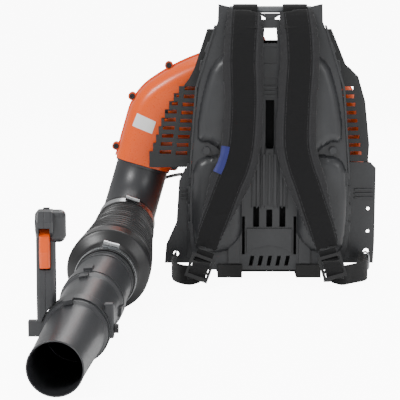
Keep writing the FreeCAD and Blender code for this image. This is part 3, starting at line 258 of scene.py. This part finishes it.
def moulded(name, colour, light, rough, grain_mm, edge_mm=1.2, gloss=0.5, coat=0.0):
    """Moulded plastic: mould grain, cloudy colour, and softened edges painted paler, part painted highlight
    and part wear.
    """
    material, tree, place = new_material(name)
    cloud = add(tree, "ShaderNodeTexNoise", {"Scale": 1 / (45 * mm), "Detail": 4.0},
                {"Vector": place})
    grain = add(tree, "ShaderNodeTexNoise", {"Scale": 1 / (grain_mm * mm), "Detail": 3.0},
                {"Vector": place})
    round_edge = add(tree, "ShaderNodeBevel", {"samples": 4, "Radius": edge_mm * mm})
    flat = add(tree, "ShaderNodeNewGeometry", {})
    bend = add(tree, "ShaderNodeVectorMath", {"operation": "DOT_PRODUCT"},
               {0: round_edge.outputs[0], 1: flat.outputs["Normal"]})
    # Painted highlight and wear: where the rounded-edge normal turns from the face's normal, the colour is
    # mixed towards the lighter one.
    edge_highlight_and_wear = add(tree, "ShaderNodeMapRange",
                 {"From Min": 0.985, "From Max": 0.80, "To Min": 0.0, "To Max": 0.55},
                 {"Value": bend.outputs["Value"]})
    tone = add(tree, "ShaderNodeMix", {"data_type": "RGBA", 6: linear(colour), 7: linear(light)},
               {0: cloud.outputs["Fac"]})
    # The colour with the painted edge highlight and wear mixed in.
    tone_with_edge_highlight_and_wear = add(tree, "ShaderNodeMix", {"data_type": "RGBA", 7: linear(light)},
               {0: edge_highlight_and_wear.outputs[0], 6: tone.outputs[2]})
    dull = add(tree, "ShaderNodeMapRange",
               {"To Min": rough - 0.06, "To Max": rough + 0.08}, {"Value": grain.outputs["Fac"]})
    bump = add(tree, "ShaderNodeBump", {"Strength": 0.25, "Distance": 0.15 * mm},
               {"Height": grain.outputs["Fac"], "Normal": round_edge.outputs[0]})
    shade = add(tree, "ShaderNodeBsdfPrincipled",
                {"IOR": 1.53, "Specular IOR Level": gloss, "Coat Weight": coat,
                 "Coat Roughness": 0.12},
                {"Base Color": tone_with_edge_highlight_and_wear.outputs[2], "Roughness": dull.outputs[0],
                 "Normal": bump.outputs[0]})
    finish_surface(tree, shade)
    return material


def wear(material, *nodes):
    """Give CAD nodes a material."""
    for node in nodes:
        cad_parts[node].data.materials.clear()
        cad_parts[node].data.materials.append(material)


grey_nylon = moulded("grey_glass_filled_nylon", "#28292b", "#37383a", 0.36, 0.9)
dark_nylon = moulded("dark_glass_filled_nylon", "#1e1f20", "#2b2c2d", 0.5, 0.9)
wear(grey_nylon, "back_plate", "side_bracket_left", "side_bracket_right")
wear(dark_nylon, "base_frame", "intake_grille_left", "intake_grille_right", "muffler_guard",
     "filter_cover", "starter_housing")
wear(moulded("pale_grey_nylon_tube", "#4d4f52", "#5f6164", 0.4, 1.2), "carry_bar")
wear(moulded("black_moulded_rubber", "#121212", "#1c1c1c", 0.72, 1.5, 2.5), "rubber_feet",
     "rubber_mounts", "intake_boot", "plug_cap")


# ---- Plate cushions, rim and slot shade sheet -------------------------------------------------
# The plate's swollen pads that bear on the back, the stepped ribs round its rim and the fine ribs of
# its middle channel, all in the plate's nylon, and a black sheet behind its slots that is painted shade.

PLATE_FACE = -120.0
UPPER_PAD = ((26, 238), (86, 238), (100, 250), (114, 259), (130, 259), (136, 268), (134, 300),
             (127, 340), (119, 372), (111, 396), (102, 410), (92, 418), (80, 421), (40, 421),
             (26, 418))
LOWER_PAD = ((52, 92), (60, 70), (78, 54), (100, 48), (128, 48), (139, 60), (144, 90), (146, 150),
             (143, 205), (136, 222), (124, 230), (100, 234), (76, 232), (60, 222), (52, 200))


def inside_by(outline, x, z):
    """How far a point lies inside an outline, less than 0 outside it."""
    near, inside = 1e9, False
    for (ax, az), (bx, bz) in zip(outline, outline[1:] + outline[:1]):
        dx, dz = bx - ax, bz - az
        share = min(max(((x - ax) * dx + (z - az) * dz) / (dx * dx + dz * dz), 0), 1)
        near = min(near, math.hypot(x - ax - share * dx, z - az - share * dz))
        if (az > z) != (bz > z) and x < ax + (z - az) * dx / dz:
            inside = not inside
    return near if inside else -near


def ease(low, high, value):
    """0 below low, 1 above high, with a smooth turn between."""
    share = min(max((value - low) / (high - low), 0.0), 1.0)
    return share * share * (3 - 2 * share)


def dome(depth, width, proud):
    """Height of a pad's round shoulder this far in from its edge."""
    share = min(max(depth / width, 0.0), 1.0)
    return proud * math.sqrt(1 - (1 - share) ** 2)


def cushion(name, outline, side, proud, width, step=2.5):
    """A pad over an outline on the plate's face: a grid of points raised towards its middle."""
    across = [point[0] for point in outline]
    upward = [point[1] for point in outline]
    columns = int((max(across) - min(across)) / step) + 3
    rows = int((max(upward) - min(upward)) / step) + 3
    spots, faces = [], []
    for row in range(rows):
        for column in range(columns):
            x, z = min(across) + (column - 1) * step, min(upward) + (row - 1) * step
            depth = inside_by(outline, x, z)
            crown = 2.0 * ease(0, 60, depth)
            rise = dome(depth, width, proud) + crown if depth > 0 else 0.0
            spots.append(Vector((side * x, PLATE_FACE + 0.4 - rise, z)) * mm)
    for row in range(rows - 1):
        for column in range(columns - 1):
            corner = row * columns + column
            square = (corner, corner + 1, corner + columns + 1, corner + columns)
            if any(spots[place].y < (PLATE_FACE + 0.3) * mm for place in square):
                faces.append(square)
    mesh = bpy.data.meshes.new(name)
    mesh.from_pydata(spots, [], faces)
    piece = bpy.data.objects.new(name, mesh)
    bpy.context.scene.collection.objects.link(piece)
    select_only(piece)
    bpy.ops.object.mode_set(mode="EDIT")
    bpy.ops.mesh.select_all(action="SELECT")
    bpy.ops.mesh.delete_loose()
    bpy.ops.object.mode_set(mode="OBJECT")
    outward(piece)
    soft = piece.modifiers.new("soft", "SMOOTH")
    soft.factor, soft.iterations = 0.5, 4
    wall = piece.modifiers.new("wall", "SOLIDIFY")
    wall.thickness = 1.2 * mm
    wall.offset = 0
    apply_all(piece)
    smooth(piece, 60)
    return piece


for side_name, side in (("left", -1), ("right", 1)):
    for level, outline in (("upper", UPPER_PAD), ("lower", LOWER_PAD)):
        pad = cushion(f"plate_cushion_{level}_{side_name}", outline, side, 14.0, 17.0)
        pad.data.materials.append(grey_nylon)
        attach(pad, "blower")


def block(size, spot, tilt=0.0):
    """A box centred on a spot, both in millimetres, turned about Y."""
    bpy.ops.object.select_all(action="DESELECT")
    bpy.ops.mesh.primitive_cube_add(size=1, location=[value * mm for value in spot],
                                    rotation=(0, tilt, 0))
    made = bpy.context.object
    made.scale = [value * mm for value in size]
    bpy.ops.object.transform_apply(location=True, rotation=True, scale=True)
    return made


def joined(name, pieces, edge):
    """Join pieces, round their edges and name the result."""
    bpy.ops.object.select_all(action="DESELECT")
    for made in pieces:
        made.select_set(True)
    bpy.context.view_layer.objects.active = pieces[0]
    bpy.ops.object.join()
    made = bpy.context.object
    made.name = name
    soft = made.modifiers.new("soft", "BEVEL")
    soft.width, soft.segments = edge * mm, 3
    apply_all(made)
    smooth(made, 40)
    return made


RIM_LINE = ((150, 70), (151, 140), (147, 220), (141, 310), (134, 361), (127, 408), (98, 484))
for side_name, side in (("left", -1), ("right", 1)):
    steps = []
    for count in range(11):
        level = 96 + count * 34
        low, high = [pair for pair in zip(RIM_LINE, RIM_LINE[1:])
                     if pair[0][1] <= level <= pair[1][1]][0]
        share = (level - low[1]) / (high[1] - low[1])
        edge = low[0] + (high[0] - low[0]) * share
        tilt = math.atan2(high[0] - low[0], high[1] - low[1])
        steps.append(block((7, 22, 20), (side * (edge + 0.6), -104, level), side * tilt))
    rim = joined(f"plate_rim_steps_{side_name}", steps, 1.5)
    rim.data.materials.append(grey_nylon)
    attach(rim, "blower")

ribs = joined("channel_ribs", [block((2.6, 3.4, 118), (offset * 8.0, -121.2, 192))
                               for offset in range(-4, 5) if offset], 0.8)
ribs.data.materials.append(grey_nylon)
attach(ribs, "blower")

# Narrow strips that close the gap between the plate's rim and each wing.
for side_name, side in (("left", -1), ("right", 1)):
    seal = joined(f"wing_seal_{side_name}", [block((16, 1.4, 184), (side * 149, -79.2, 122))], 0.4)
    seal.data.materials.append(grey_nylon)
    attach(seal, "blower")

# The case's web behind the lower louvres, in the same orange as the duct it joins.
web = joined("duct_web", [block((58, 1.4, 58), (-178, -61, 234))], 0.4)
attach(web, "blower")

# A black sheet behind the plate: painted shade, so that the slots look dark.
slot_shade_sheet = joined("plate_slot_shade_sheet", [block((236, 1.2, 388), (0, -99, 232)),
                               block((150, 1.2, 30), (0, -99, 435))], 0.2)
slot_shade_sheet.data.materials.append(moulded("painted_slot_shade_black", "#0c0c0d", "#141415", 0.9, 1.0, 0.2))
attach(slot_shade_sheet, "blower")


# ---- Fan case and engine cover ----------------------------------------------------------------
# The spiral case and the cover are semi-gloss orange nylon, polished in the mould so that they
# hold soft highlights.  Blackened pan-head screws hold the rim.  A plain white label has no text.

orange_nylon = moulded("orange_polished_nylon", "#f05200", "#f65e00", 0.28, 2.5, 1.5, 0.45, 0.1)
wear(orange_nylon, "fan_case_front", "fan_case_rear", "engine_cover")
web.data.materials.append(orange_nylon)


def metal(name, colour, light, rough, streak_mm, stretch=(1, 1, 1)):
    """Bare metal with fine marks stretched the way it was worked."""
    material, tree, place = new_material(name)
    turned = add(tree, "ShaderNodeMapping", {"Scale": stretch}, {"Vector": place})
    marks = add(tree, "ShaderNodeTexNoise", {"Scale": 1 / (streak_mm * mm), "Detail": 5.0},
                {"Vector": turned.outputs[0]})
    tone = add(tree, "ShaderNodeMix", {"data_type": "RGBA", 6: linear(colour), 7: linear(light)},
               {0: marks.outputs["Fac"]})
    dull = add(tree, "ShaderNodeMapRange", {"To Min": rough - 0.08, "To Max": rough + 0.12},
               {"Value": marks.outputs["Fac"]})
    round_edge = add(tree, "ShaderNodeBevel", {"samples": 4, "Radius": 0.6 * mm})
    bump = add(tree, "ShaderNodeBump", {"Strength": 0.15, "Distance": 0.1 * mm},
               {"Height": marks.outputs["Fac"], "Normal": round_edge.outputs[0]})
    shade = add(tree, "ShaderNodeBsdfPrincipled", {"Metallic": 1.0},
                {"Base Color": tone.outputs[2], "Roughness": dull.outputs[0],
                 "Normal": bump.outputs[0]})
    finish_surface(tree, shade)
    return material


wear(metal("blackened_screw_steel", "#3a3a3c", "#4c4c4e", 0.42, 1.5), "case_screws")


# ---- Elbow, tubes and nozzle ------------------------------------------------------------------
# Blow-moulded grey polyethylene pipes with a soft satin skin, held by worm-drive clamps of
# zinc-plated spring steel.

grey_pipe = moulded("grey_blow_moulded_polyethylene", "#2b2c2e", "#36373a", 0.36, 3.0, 1.5, 0.6)
wear(grey_pipe, "elbow_pipe", "control_tube", "front_tube", "nozzle", "handle_clamp",
     "handle_shell_left", "handle_shell_right")
wear(metal("zinc_plated_steel", "#b9bbbd", "#d9dbdd", 0.26, 2.0, (1, 6, 1)), "hose_clamp_upper",
     "hose_clamp_lower", "belt_ring")


# ---- Bellows hose -----------------------------------------------------------------------------
# Moulded EPDM rubber hose: a plain cuff on the elbow, close thin ribs, a smooth swollen shoulder
# and a stepped cuff on the collar of the control tube.

HOSE_SIDES = 72
HOSE_WALL = 2.2 * mm
HOSE_RINGS = 380
HOSE_START = Vector((-275.4, -77.2, 93.6)) * mm
HOSE_HEADING = Vector((-0.1489, -0.8415, -0.5193))
COLLAR = Vector((-290, -490, 66)) * mm
TUBE_AXIS = Vector((-0.0704, -0.9962, -0.0515))


def hose_middle(part):
    """The hose's middle line from the elbow to the collar; below 0 it runs back up the elbow."""
    if part < 0:
        return HOSE_START + HOSE_HEADING * (part * 415 * mm)
    square, cube = part ** 2, part ** 3
    return (HOSE_START * (2 * cube - 3 * square + 1)
            + HOSE_HEADING * (120 * mm * (cube - 2 * square + part))
            + COLLAR * (3 * square - 2 * cube) + TUBE_AXIS * (300 * mm * (cube - square)))


def hose_radius(part):
    """Outside radius in millimetres: cuff, ribs, shoulder, step and cuff."""
    swell_to = 58.0 + 12.5 * ease(0.12, 0.80, part)
    radius = 53.8 + 0.9 * ease(0.065, 0.07, part) * (1 - ease(0.085, 0.09, part))
    if 0.095 < part < 0.73:
        rib = ((part - 0.10) / 0.045) % 1.0
        radius = swell_to - 7.0 * (1 - ease(0.18, 0.40, rib) * (1 - ease(0.60, 0.82, rib)))
    if part >= 0.73:
        radius = swell_to - 7.0 * (1 - ease(0.735, 0.755, part))
        radius -= 17.5 * ease(0.850, 0.888, part)
        radius -= 2.2 * ease(0.893, 0.90, part)
    return radius


hose_parts = [-0.053 + 1.053 * step / HOSE_RINGS for step in range(HOSE_RINGS + 1)]
hose_line = [hose_middle(part) for part in hose_parts]


def hose_ring(step):
    run, side, over = frame_along(hose_line, step)
    radius = hose_radius(hose_parts[step])
    middle = hose_line[step].copy()
    middle.z = max(middle.z, (radius + 1.5) * mm)
    return [middle + (side * math.cos(turn) + over * math.sin(turn)) * radius * mm
            for turn in [math.tau * count / HOSE_SIDES for count in range(HOSE_SIDES)]]


bellows = sweep("ribbed_bellows", hose_line, hose_ring, HOSE_SIDES)
bpy.ops.object.mode_set(mode="EDIT")
bpy.ops.mesh.select_all(action="DESELECT")
bpy.ops.object.mode_set(mode="OBJECT")
for face in bellows.data.polygons:
    face.select = len(face.vertices) > 4
bpy.ops.object.mode_set(mode="EDIT")
bpy.ops.mesh.delete(type="ONLY_FACE")
bpy.ops.object.mode_set(mode="OBJECT")
wall = bellows.modifiers.new("wall", "SOLIDIFY")
wall.thickness = HOSE_WALL
wall.offset = -1
apply_all(bellows)
smooth(bellows, 50)

# Moulded EPDM: matt black, the edges of its ribs and grooves painted paler, part painted highlight and part
# wear.
epdm = moulded("black_moulded_epdm", "#161617", "#222223", 0.34, 1.2, 0.8, 0.5)
bellows.data.materials.append(epdm)
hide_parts("bellows_hose")
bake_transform(bellows)


# ---- Control handle ---------------------------------------------------------------------------
# Two nylon half-shells on a clamp round the middle tube, with an orange throttle trigger, a
# thumb lever, a black stop button and a black screw knob.

wear(moulded("orange_trigger_nylon", "#f05200", "#f65e00", 0.34, 2.0, 1.5), "throttle_trigger")
black_acetal = moulded("black_moulded_acetal", "#161617", "#242425", 0.38, 1.5, 0.9, 0.5)
wear(black_acetal, "stop_switch", "cruise_lever", "clamp_knob", "strap_buckles", "choke_lever", "filter_knob",
     "starter_grip", "starter_pulley", "fuel_cap", "impeller", "ignition_coil")


# ---- Shoulder straps --------------------------------------------------------------------------
# Closed-cell foam pads in woven polyester, 85 mm wide: a darker webbing band is sewn down the
# middle with two rows of stitches a side, and the edges are bound.  Each hangs from a loop of
# webbing folded over the carrying bar.

BAND_HALF = 23 * mm
LEFT_SPINE = ((-47, -120, 509, 68, 6), (-48, -128, 494, 74, 7), (-50, -138, 460, 82, 8),
              (-52, -143, 408, 85, 9), (-50, -146, 340, 85, 9), (-54, -148, 262, 85, 9),
              (-64, -152, 215, 85, 9), (-79, -162, 180, 84, 9), (-97, -178, 134, 68, 8),
              (-112, -193, 98, 56, 8), (-121, -207, 67, 44, 6))
RIGHT_SPINE = ((46, -120, 509, 68, 6), (48, -128, 494, 74, 7), (52, -138, 460, 82, 8),
               (54, -143, 408, 85, 9), (50, -146, 340, 85, 9), (48, -148, 262, 85, 9),
               (57, -152, 215, 85, 9), (69, -162, 180, 82, 9), (84, -178, 134, 70, 8),
               (96, -193, 98, 60, 8), (104, -207, 67, 46, 6))


def through(stations, share):
    """A smooth curve through the stations: every number of a station at a share of the way."""
    reach = share * (len(stations) - 1)
    index = min(int(reach), len(stations) - 2)
    part = reach - index
    rows = [stations[min(max(index + step, 0), len(stations) - 1)] for step in (-1, 0, 1, 2)]
    return [0.5 * (2 * b + (c - a) * part + (2 * a - 5 * b + 4 * c - d) * part ** 2
                   + (3 * b - a - 3 * c + d) * part ** 3) for a, b, c, d in zip(*rows)]


def strap_line(spine, rows, level=(1, 0, 0)):
    """Along a strap: the middle, the side vector, the outward vector, width and thickness."""
    level = Vector(level)
    samples = [through(spine, row / (rows - 1)) for row in range(rows)]
    middles = [Vector(sample[:3]) * mm for sample in samples]
    line = []
    for row, sample in enumerate(samples):
        run = (middles[min(row + 1, rows - 1)] - middles[max(row - 1, 0)]).normalized()
        side = (level - run * run.dot(level)).normalized()
        line.append((middles[row], side, run.cross(side), sample[3] * mm, sample[4] * mm))
    return line


def pad_form(name, line, slim):
    """A closed flat pad along a strap's line, slimmer by the amount that it will swell."""
    sides = 28

    def pad_ring(step):
        middle, side, out, wide, thick = line[step]
        ring = []
        for count in range(sides):
            turn = math.tau * count / sides
            across, over = math.cos(turn), math.sin(turn)
            across = math.copysign(abs(across) ** 0.35, across)
            over = math.copysign(abs(over) ** 0.6, over)
            ring.append(middle + side * (across * (wide / 2 - slim))
                        + out * (over * (thick / 2 - slim)))
        return ring

    return sweep(name, [row[0] for row in line], pad_ring, sides)


def swell(pad, most):
    """Blow a pad up as stuffed cloth does, with no point moving further than most."""
    bpy.context.scene.frame_set(1)
    select_only(pad)
    net = pad.modifiers.new("net", "REMESH")
    net.mode = "VOXEL"
    net.voxel_size = 4 * mm
    bpy.ops.object.modifier_apply(modifier=net.name)
    before = [vertex.co.copy() for vertex in pad.data.vertices]
    cloth = pad.modifiers.new("cloth", "CLOTH")
    cloth.settings.use_pressure = True
    cloth.settings.uniform_pressure_force = 4
    cloth.settings.effector_weights.gravity = 0
    cloth.settings.quality = 5
    for count in range(1, 21):
        bpy.context.scene.frame_set(count)
    bpy.ops.object.modifier_apply(modifier=cloth.name)
    for vertex, old in zip(pad.data.vertices, before):
        shift = vertex.co - old
        if shift.length > most:
            vertex.co = old + shift * (most / shift.length)
    bpy.context.scene.frame_set(1)


def strap_places(pad, line):
    """For every vertex: how far across and along the strap it is, and its outward vector."""
    along = [0.0]
    for (a, *rest), (b, *more) in zip(line, line[1:]):
        along.append(along[-1] + (b - a).length)
    places = []
    for vertex in pad.data.vertices:
        row = min(range(len(line)), key=lambda index: (vertex.co - line[index][0]).length_squared)
        middle, side, out = line[row][:3]
        across = (vertex.co - middle).dot(side)
        run = side.cross(out)
        places.append((across, along[row] - (vertex.co - middle).dot(run), out,
                       (vertex.co - middle).dot(out)))
    return places


def sew(pad, line):
    """Draw in the seams beside the middle band."""
    for vertex, (across, along, out, proud) in zip(pad.data.vertices, strap_places(pad, line)):
        seam = math.exp(-((abs(across) - BAND_HALF) / (2.6 * mm)) ** 2)
        pull = 2.2 * mm * seam
        vertex.co -= out * math.copysign(min(pull, abs(proud) * 0.6), proud)


def strap_map(pad, line):
    """A UV map in metres: U across the strap, V along it."""
    places = strap_places(pad, line)
    layer = pad.data.uv_layers.new(name="strap")
    for loop in pad.data.loops:
        across, along = places[loop.vertex_index][:2]
        layer.data[loop.index].uv = (across, along)


def woven(name, colour, light, thread_mm, rough, band_colour=None, stitched=()):
    """Woven cloth on a metre UV map: threads both ways, an optional middle band, stitches."""
    material, tree, place = new_material(name)
    flat = add(tree, "ShaderNodeUVMap", {"uv_map": "strap"}).outputs[0]
    apart = add(tree, "ShaderNodeSeparateXYZ", {}, {"Vector": flat}).outputs
    pitch = math.tau / 20 / (thread_mm * mm)
    warp = add(tree, "ShaderNodeTexWave", {"bands_direction": "X", "Scale": pitch,
                                           "Distortion": 0.4, "Detail": 1.0}, {"Vector": flat})
    weft = add(tree, "ShaderNodeTexWave", {"bands_direction": "Y", "Scale": pitch,
                                           "Distortion": 0.4, "Detail": 1.0}, {"Vector": flat})
    weave = add(tree, "ShaderNodeMath", {"operation": "MULTIPLY"},
                {0: warp.outputs["Fac"], 1: weft.outputs["Fac"]})
    tone = add(tree, "ShaderNodeMix", {"data_type": "RGBA", 6: linear(colour), 7: linear(light)},
               {0: weave.outputs[0]})
    face, height = tone.outputs[2], weave.outputs[0]
    if band_colour:
        off = add(tree, "ShaderNodeMath", {"operation": "ABSOLUTE"}, {0: apart["X"]})
        inside = add(tree, "ShaderNodeMath", {"operation": "LESS_THAN", 1: BAND_HALF},
                     {0: off.outputs[0]})
        banded = add(tree, "ShaderNodeMix", {"data_type": "RGBA", 7: linear(band_colour)},
                     {0: inside.outputs[0], 6: face})
        face = banded.outputs[2]
        for line_at in stitched:
            near = add(tree, "ShaderNodeMath", {"operation": "COMPARE", 1: line_at * mm,
                                                2: 0.5 * mm}, {0: off.outputs[0]})
            step = add(tree, "ShaderNodeMath", {"operation": "FRACT"}, {0: add(
                tree, "ShaderNodeMath", {"operation": "DIVIDE", 1: 4.5 * mm},
                {0: apart["Y"]}).outputs[0]})
            dash = add(tree, "ShaderNodeMath", {"operation": "LESS_THAN", 1: 0.62},
                       {0: step.outputs[0]})
            stitch = add(tree, "ShaderNodeMath", {"operation": "MULTIPLY"},
                         {0: near.outputs[0], 1: dash.outputs[0]})
            thread = add(tree, "ShaderNodeMix", {"data_type": "RGBA", 7: linear("#3a3a3c")},
                         {0: stitch.outputs[0], 6: face})
            raised = add(tree, "ShaderNodeMath", {"operation": "ADD"},
                         {0: height, 1: stitch.outputs[0]})
            face, height = thread.outputs[2], raised.outputs[0]
    bump = add(tree, "ShaderNodeBump", {"Strength": 0.5, "Distance": 0.35 * mm},
               {"Height": height})
    shade = add(tree, "ShaderNodeBsdfPrincipled",
                {"Roughness": rough, "Sheen Weight": 0.25, "Sheen Roughness": 0.4,
                 "Specular IOR Level": 0.25}, {"Base Color": face, "Normal": bump.outputs[0]})
    finish_surface(tree, shade)
    return material


# Woven polyester: matt, with threads drawn 1.6 mm apart so that they show.
strap_cloth = woven("charcoal_woven_polyester", "#282829", "#3c3c3e", 1.6, 0.85, "#151516",
                    (20.5, 25.5))
webbing_cloth = woven("black_woven_polypropylene", "#0f0f10", "#1e1e1f", 1.8, 0.7)

for side_name, spine in (("left", LEFT_SPINE), ("right", RIGHT_SPINE)):
    line = strap_line(spine, 160)
    pad = pad_form(f"padded_strap_{side_name}", line, 1.2 * mm)
    swell(pad, 3 * mm)
    finer = pad.modifiers.new("finer", "SUBSURF")
    finer.levels = finer.render_levels = 1
    apply_all(pad)
    sew(pad, line)
    strap_map(pad, line)
    smooth(pad, 60)
    pad.data.materials.append(strap_cloth)
    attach(pad, "blower")
    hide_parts(f"shoulder_strap_{side_name}")

# The loops over the bar: webbing round the tube and down behind the pad's top.
BAR_MIDDLE = Vector((0, -108, 507))
LOOP_RADIUS = 9.0
LOOP_WIDE = 46
WEBBING_WIDE = 32
WEBBING_THICK = 2.4
BAND_WIDE = 37


def ribbon(name, line):
    """A flat woven strap along a line, with softly rounded edges."""
    sides = 20

    def ribbon_ring(step):
        middle, side, out, wide, thick = line[step]
        ring = []
        for count in range(sides):
            turn = math.tau * (count + 0.5) / sides
            across = math.copysign(abs(math.cos(turn)) ** 0.25, math.cos(turn))
            over = math.copysign(abs(math.sin(turn)) ** 0.5, math.sin(turn))
            ring.append(middle + side * (across * wide / 2) + out * (over * thick / 2))
        return ring

    piece = sweep(name, [row[0] for row in line], ribbon_ring, sides)
    strap_map(piece, line)
    smooth(piece, 60)
    piece.data.materials.append(webbing_cloth)
    return piece


for side_name, middle in (("left", -47), ("right", 46)):
    fold = []
    for count in range(9):
        turn = math.radians(-25 + count * 24)
        fold.append((middle, BAR_MIDDLE.y + LOOP_RADIUS * math.cos(turn),
                     BAR_MIDDLE.z + LOOP_RADIUS * math.sin(turn), LOOP_WIDE, 2.6))
    fold += [(middle, -120, 495, LOOP_WIDE, 2.6), (middle * 1.02, -131, 484, LOOP_WIDE, 3),
             (middle * 1.04, -139, 474, LOOP_WIDE, 3)]
    loop = ribbon(f"strap_loop_{side_name}", strap_line(fold, 90))
    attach(loop, "blower")


# ---- Buckle webbing ---------------------------------------------------------------------------
# Black polypropylene webbing, from the end of each pad in and out of its ladder-lock buckle and
# down to the floor behind it, and a wider band from there to the eye of the wing.

for side_name, side, buckle, top, reach in (
        ("left", -1, (-132, -219, 36), (-121.5, -210.5, 62.5), 174),
        ("right", 1, (112, -219, 38), (104.5, -210.5, 62.5), 172)):
    down = (Vector(buckle) - Vector(top)).normalized()
    out = down.cross((Vector((1, 0, 0)) - down * down.x).normalized())
    out = out if out.y < 0 else -out
    weave = []
    for rise, proud in ((34, -0.5), (21, -4.6), (12, -1), (6.7, 4.8), (0.5, 5.2), (-5.7, 4.8),
                        (-12, 0), (-20, -4.6)):
        spot = Vector(buckle) - down * rise + out * proud
        weave.append((spot.x, spot.y, spot.z, WEBBING_WIDE, WEBBING_THICK))
    weave += [(buckle[0] + side * 1, -208, 14, WEBBING_WIDE, WEBBING_THICK),
              (buckle[0] + side * 2, -199, 7, WEBBING_WIDE, WEBBING_THICK)]
    web = ribbon(f"buckle_webbing_{side_name}", strap_line(weave, 140))
    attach(web, "blower")
    if side < 0:
        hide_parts("strap_webbing")
    band = ((buckle[0] + side * 2, -210, 24, 36, 2.6), (buckle[0] + side * 18, -218, 22, BAND_WIDE, 2.6),
            (buckle[0] + side * 36, -204, 22, BAND_WIDE, 2.6),
            (side * (reach + 8), -168, 22, BAND_WIDE, 2.6),
            (side * (reach + 10), -130, 25, 34, 2.6), (side * (reach + 5), -100, 33, 24, 2.4),
            (side * (reach + 3), -84, 38, 16, 2))
    wing_band = ribbon(f"wing_webbing_{side_name}", strap_line(band, 110, (0, 0, 1)))
    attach(wing_band, "blower")


# ---- Labels -----------------------------------------------------------------------------------
# A plain white vinyl label on the duct and a plain blue woven label sewn to the left strap.

def patch(name, corners, on_node, proud, cuts=14):
    """A thin sheet laid on a surface, its corners given in millimetres round the edge."""
    bpy.ops.object.select_all(action="DESELECT")
    bpy.ops.mesh.primitive_grid_add(x_subdivisions=cuts, y_subdivisions=cuts, size=1)
    piece = bpy.context.object
    piece.name = name
    a, b, c, d = [Vector(corner) * mm for corner in corners]
    for vertex in piece.data.vertices:
        across, up = vertex.co.x + 0.5, vertex.co.y + 0.5
        vertex.co = (a * (1 - across) + b * across) * (1 - up) + (d * (1 - across) + c * across) * up
    press = piece.modifiers.new("press", "SHRINKWRAP")
    press.target = on_node
    press.wrap_method = "PROJECT"
    press.use_project_y = True
    press.use_positive_direction = True
    press.use_negative_direction = False
    press.offset = proud
    thick = piece.modifiers.new("thick", "SOLIDIFY")
    thick.thickness = proud
    thick.offset = 0
    apply_all(piece)
    outward(piece)
    smooth(piece, 40)
    return piece


vinyl = moulded("white_vinyl_film", "#e9e9e6", "#f4f4f2", 0.32, 4.0, 0.3)
label = patch("plain_duct_label", ((-262.5, -80, 283.7), (-224.3, -80, 268), (-216.4, -80, 291.6),
                                   (-252.7, -80, 308.3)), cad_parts["fan_case_front"], 0.3 * mm)
label.data.materials.append(vinyl)
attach(label, "blower")

satin = moulded("blue_woven_label_satin", "#14195c", "#1b2274", 0.55, 0.7, 0.3)
tag_rows = [row for row in strap_line(LEFT_SPINE, 160) if 190 * mm < row[0].z < 252 * mm]
bpy.ops.object.select_all(action="DESELECT")
bpy.ops.mesh.primitive_grid_add(x_subdivisions=10, y_subdivisions=len(tag_rows) - 1, size=1)
tag = bpy.context.object
tag.name = "plain_strap_label"
for vertex in tag.data.vertices:
    row = tag_rows[round((vertex.co.y + 0.5) * (len(tag_rows) - 1))]
    across = (-39.0 + 17.0 * (vertex.co.x + 0.5)) * mm
    vertex.co = row[0] + row[1] * across + row[2] * (row[4] / 2 + 4 * mm)
hug = tag.modifiers.new("hug", "SHRINKWRAP")
hug.target = bpy.data.objects["padded_strap_left"]
hug.wrap_method = "NEAREST_SURFACEPOINT"
hug.wrap_mode = "ABOVE_SURFACE"
hug.offset = 0.8 * mm
thick = tag.modifiers.new("thick", "SOLIDIFY")
thick.thickness = 0.7 * mm
thick.offset = 0
apply_all(tag)
outward(tag)
smooth(tag, 40)
tag.data.materials.append(satin)
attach(tag, "blower")


# ---- Engine -----------------------------------------------------------------------------------
# A two-stroke behind the fan: die-cast aluminium crankcase and finned cylinder, machined steel
# crank, blackened silencer, cast carburettor, glazed plug and a pleated air filter.

wear(metal("as_cast_aluminium", "#8f9193", "#a8aaac", 0.48, 1.2), "crankcase", "cylinder",
     "flywheel", "piston", "carburettor")
wear(metal("machined_crank_steel", "#a4a5a8", "#bdbec0", 0.24, 1.5, (1, 8, 1)), "crankshaft",
     "connecting_rod", "rod_pins")
wear(metal("heat_darkened_steel", "#3b3735", "#56504c", 0.5, 4.0), "muffler")
wear(moulded("glazed_alumina", "#e6e4de", "#f0eee9", 0.18, 5.0, 0.6), "spark_plug")
wear(moulded("clear_amber_rubber", "#a89468", "#baa67c", 0.3, 4.0, 0.6), "primer_bulb")
wear(moulded("grey_filter_paper", "#55544f", "#6b6a64", 0.9, 1.0, 0.5), "filter_element")
wear(moulded("milky_tank_polyethylene", "#c9c7be", "#dad8d0", 0.4, 3.0, 2.0), "fuel_tank")


# ---- Starter rope -----------------------------------------------------------------------------
# Braided nylon rope 4 mm thick, from the pulley's groove out to the grip.

ROPE_FROM = Vector((13, 140, 268)) * mm
ROPE_LONG = 55 * mm
rope_line = [ROPE_FROM + Vector((ROPE_LONG * step / 80, 0, 0)) for step in range(81)]


def rope_ring(step):
    ring = []
    for count in range(24):
        turn = math.tau * count / 24
        strand = 0.22 * mm * math.cos(3 * turn + step * 0.9)
        ring.append(rope_line[step] + Vector((0, math.cos(turn), math.sin(turn)))
                    * (1.78 * mm + strand))
    return ring


rope = sweep("starter_cord", rope_line, rope_ring, 24)
smooth(rope, 60)
rope.data.materials.append(moulded("black_braided_nylon", "#202021", "#2e2e2f", 0.7, 0.8, 0.3))
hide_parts("starter_rope")
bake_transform(rope)
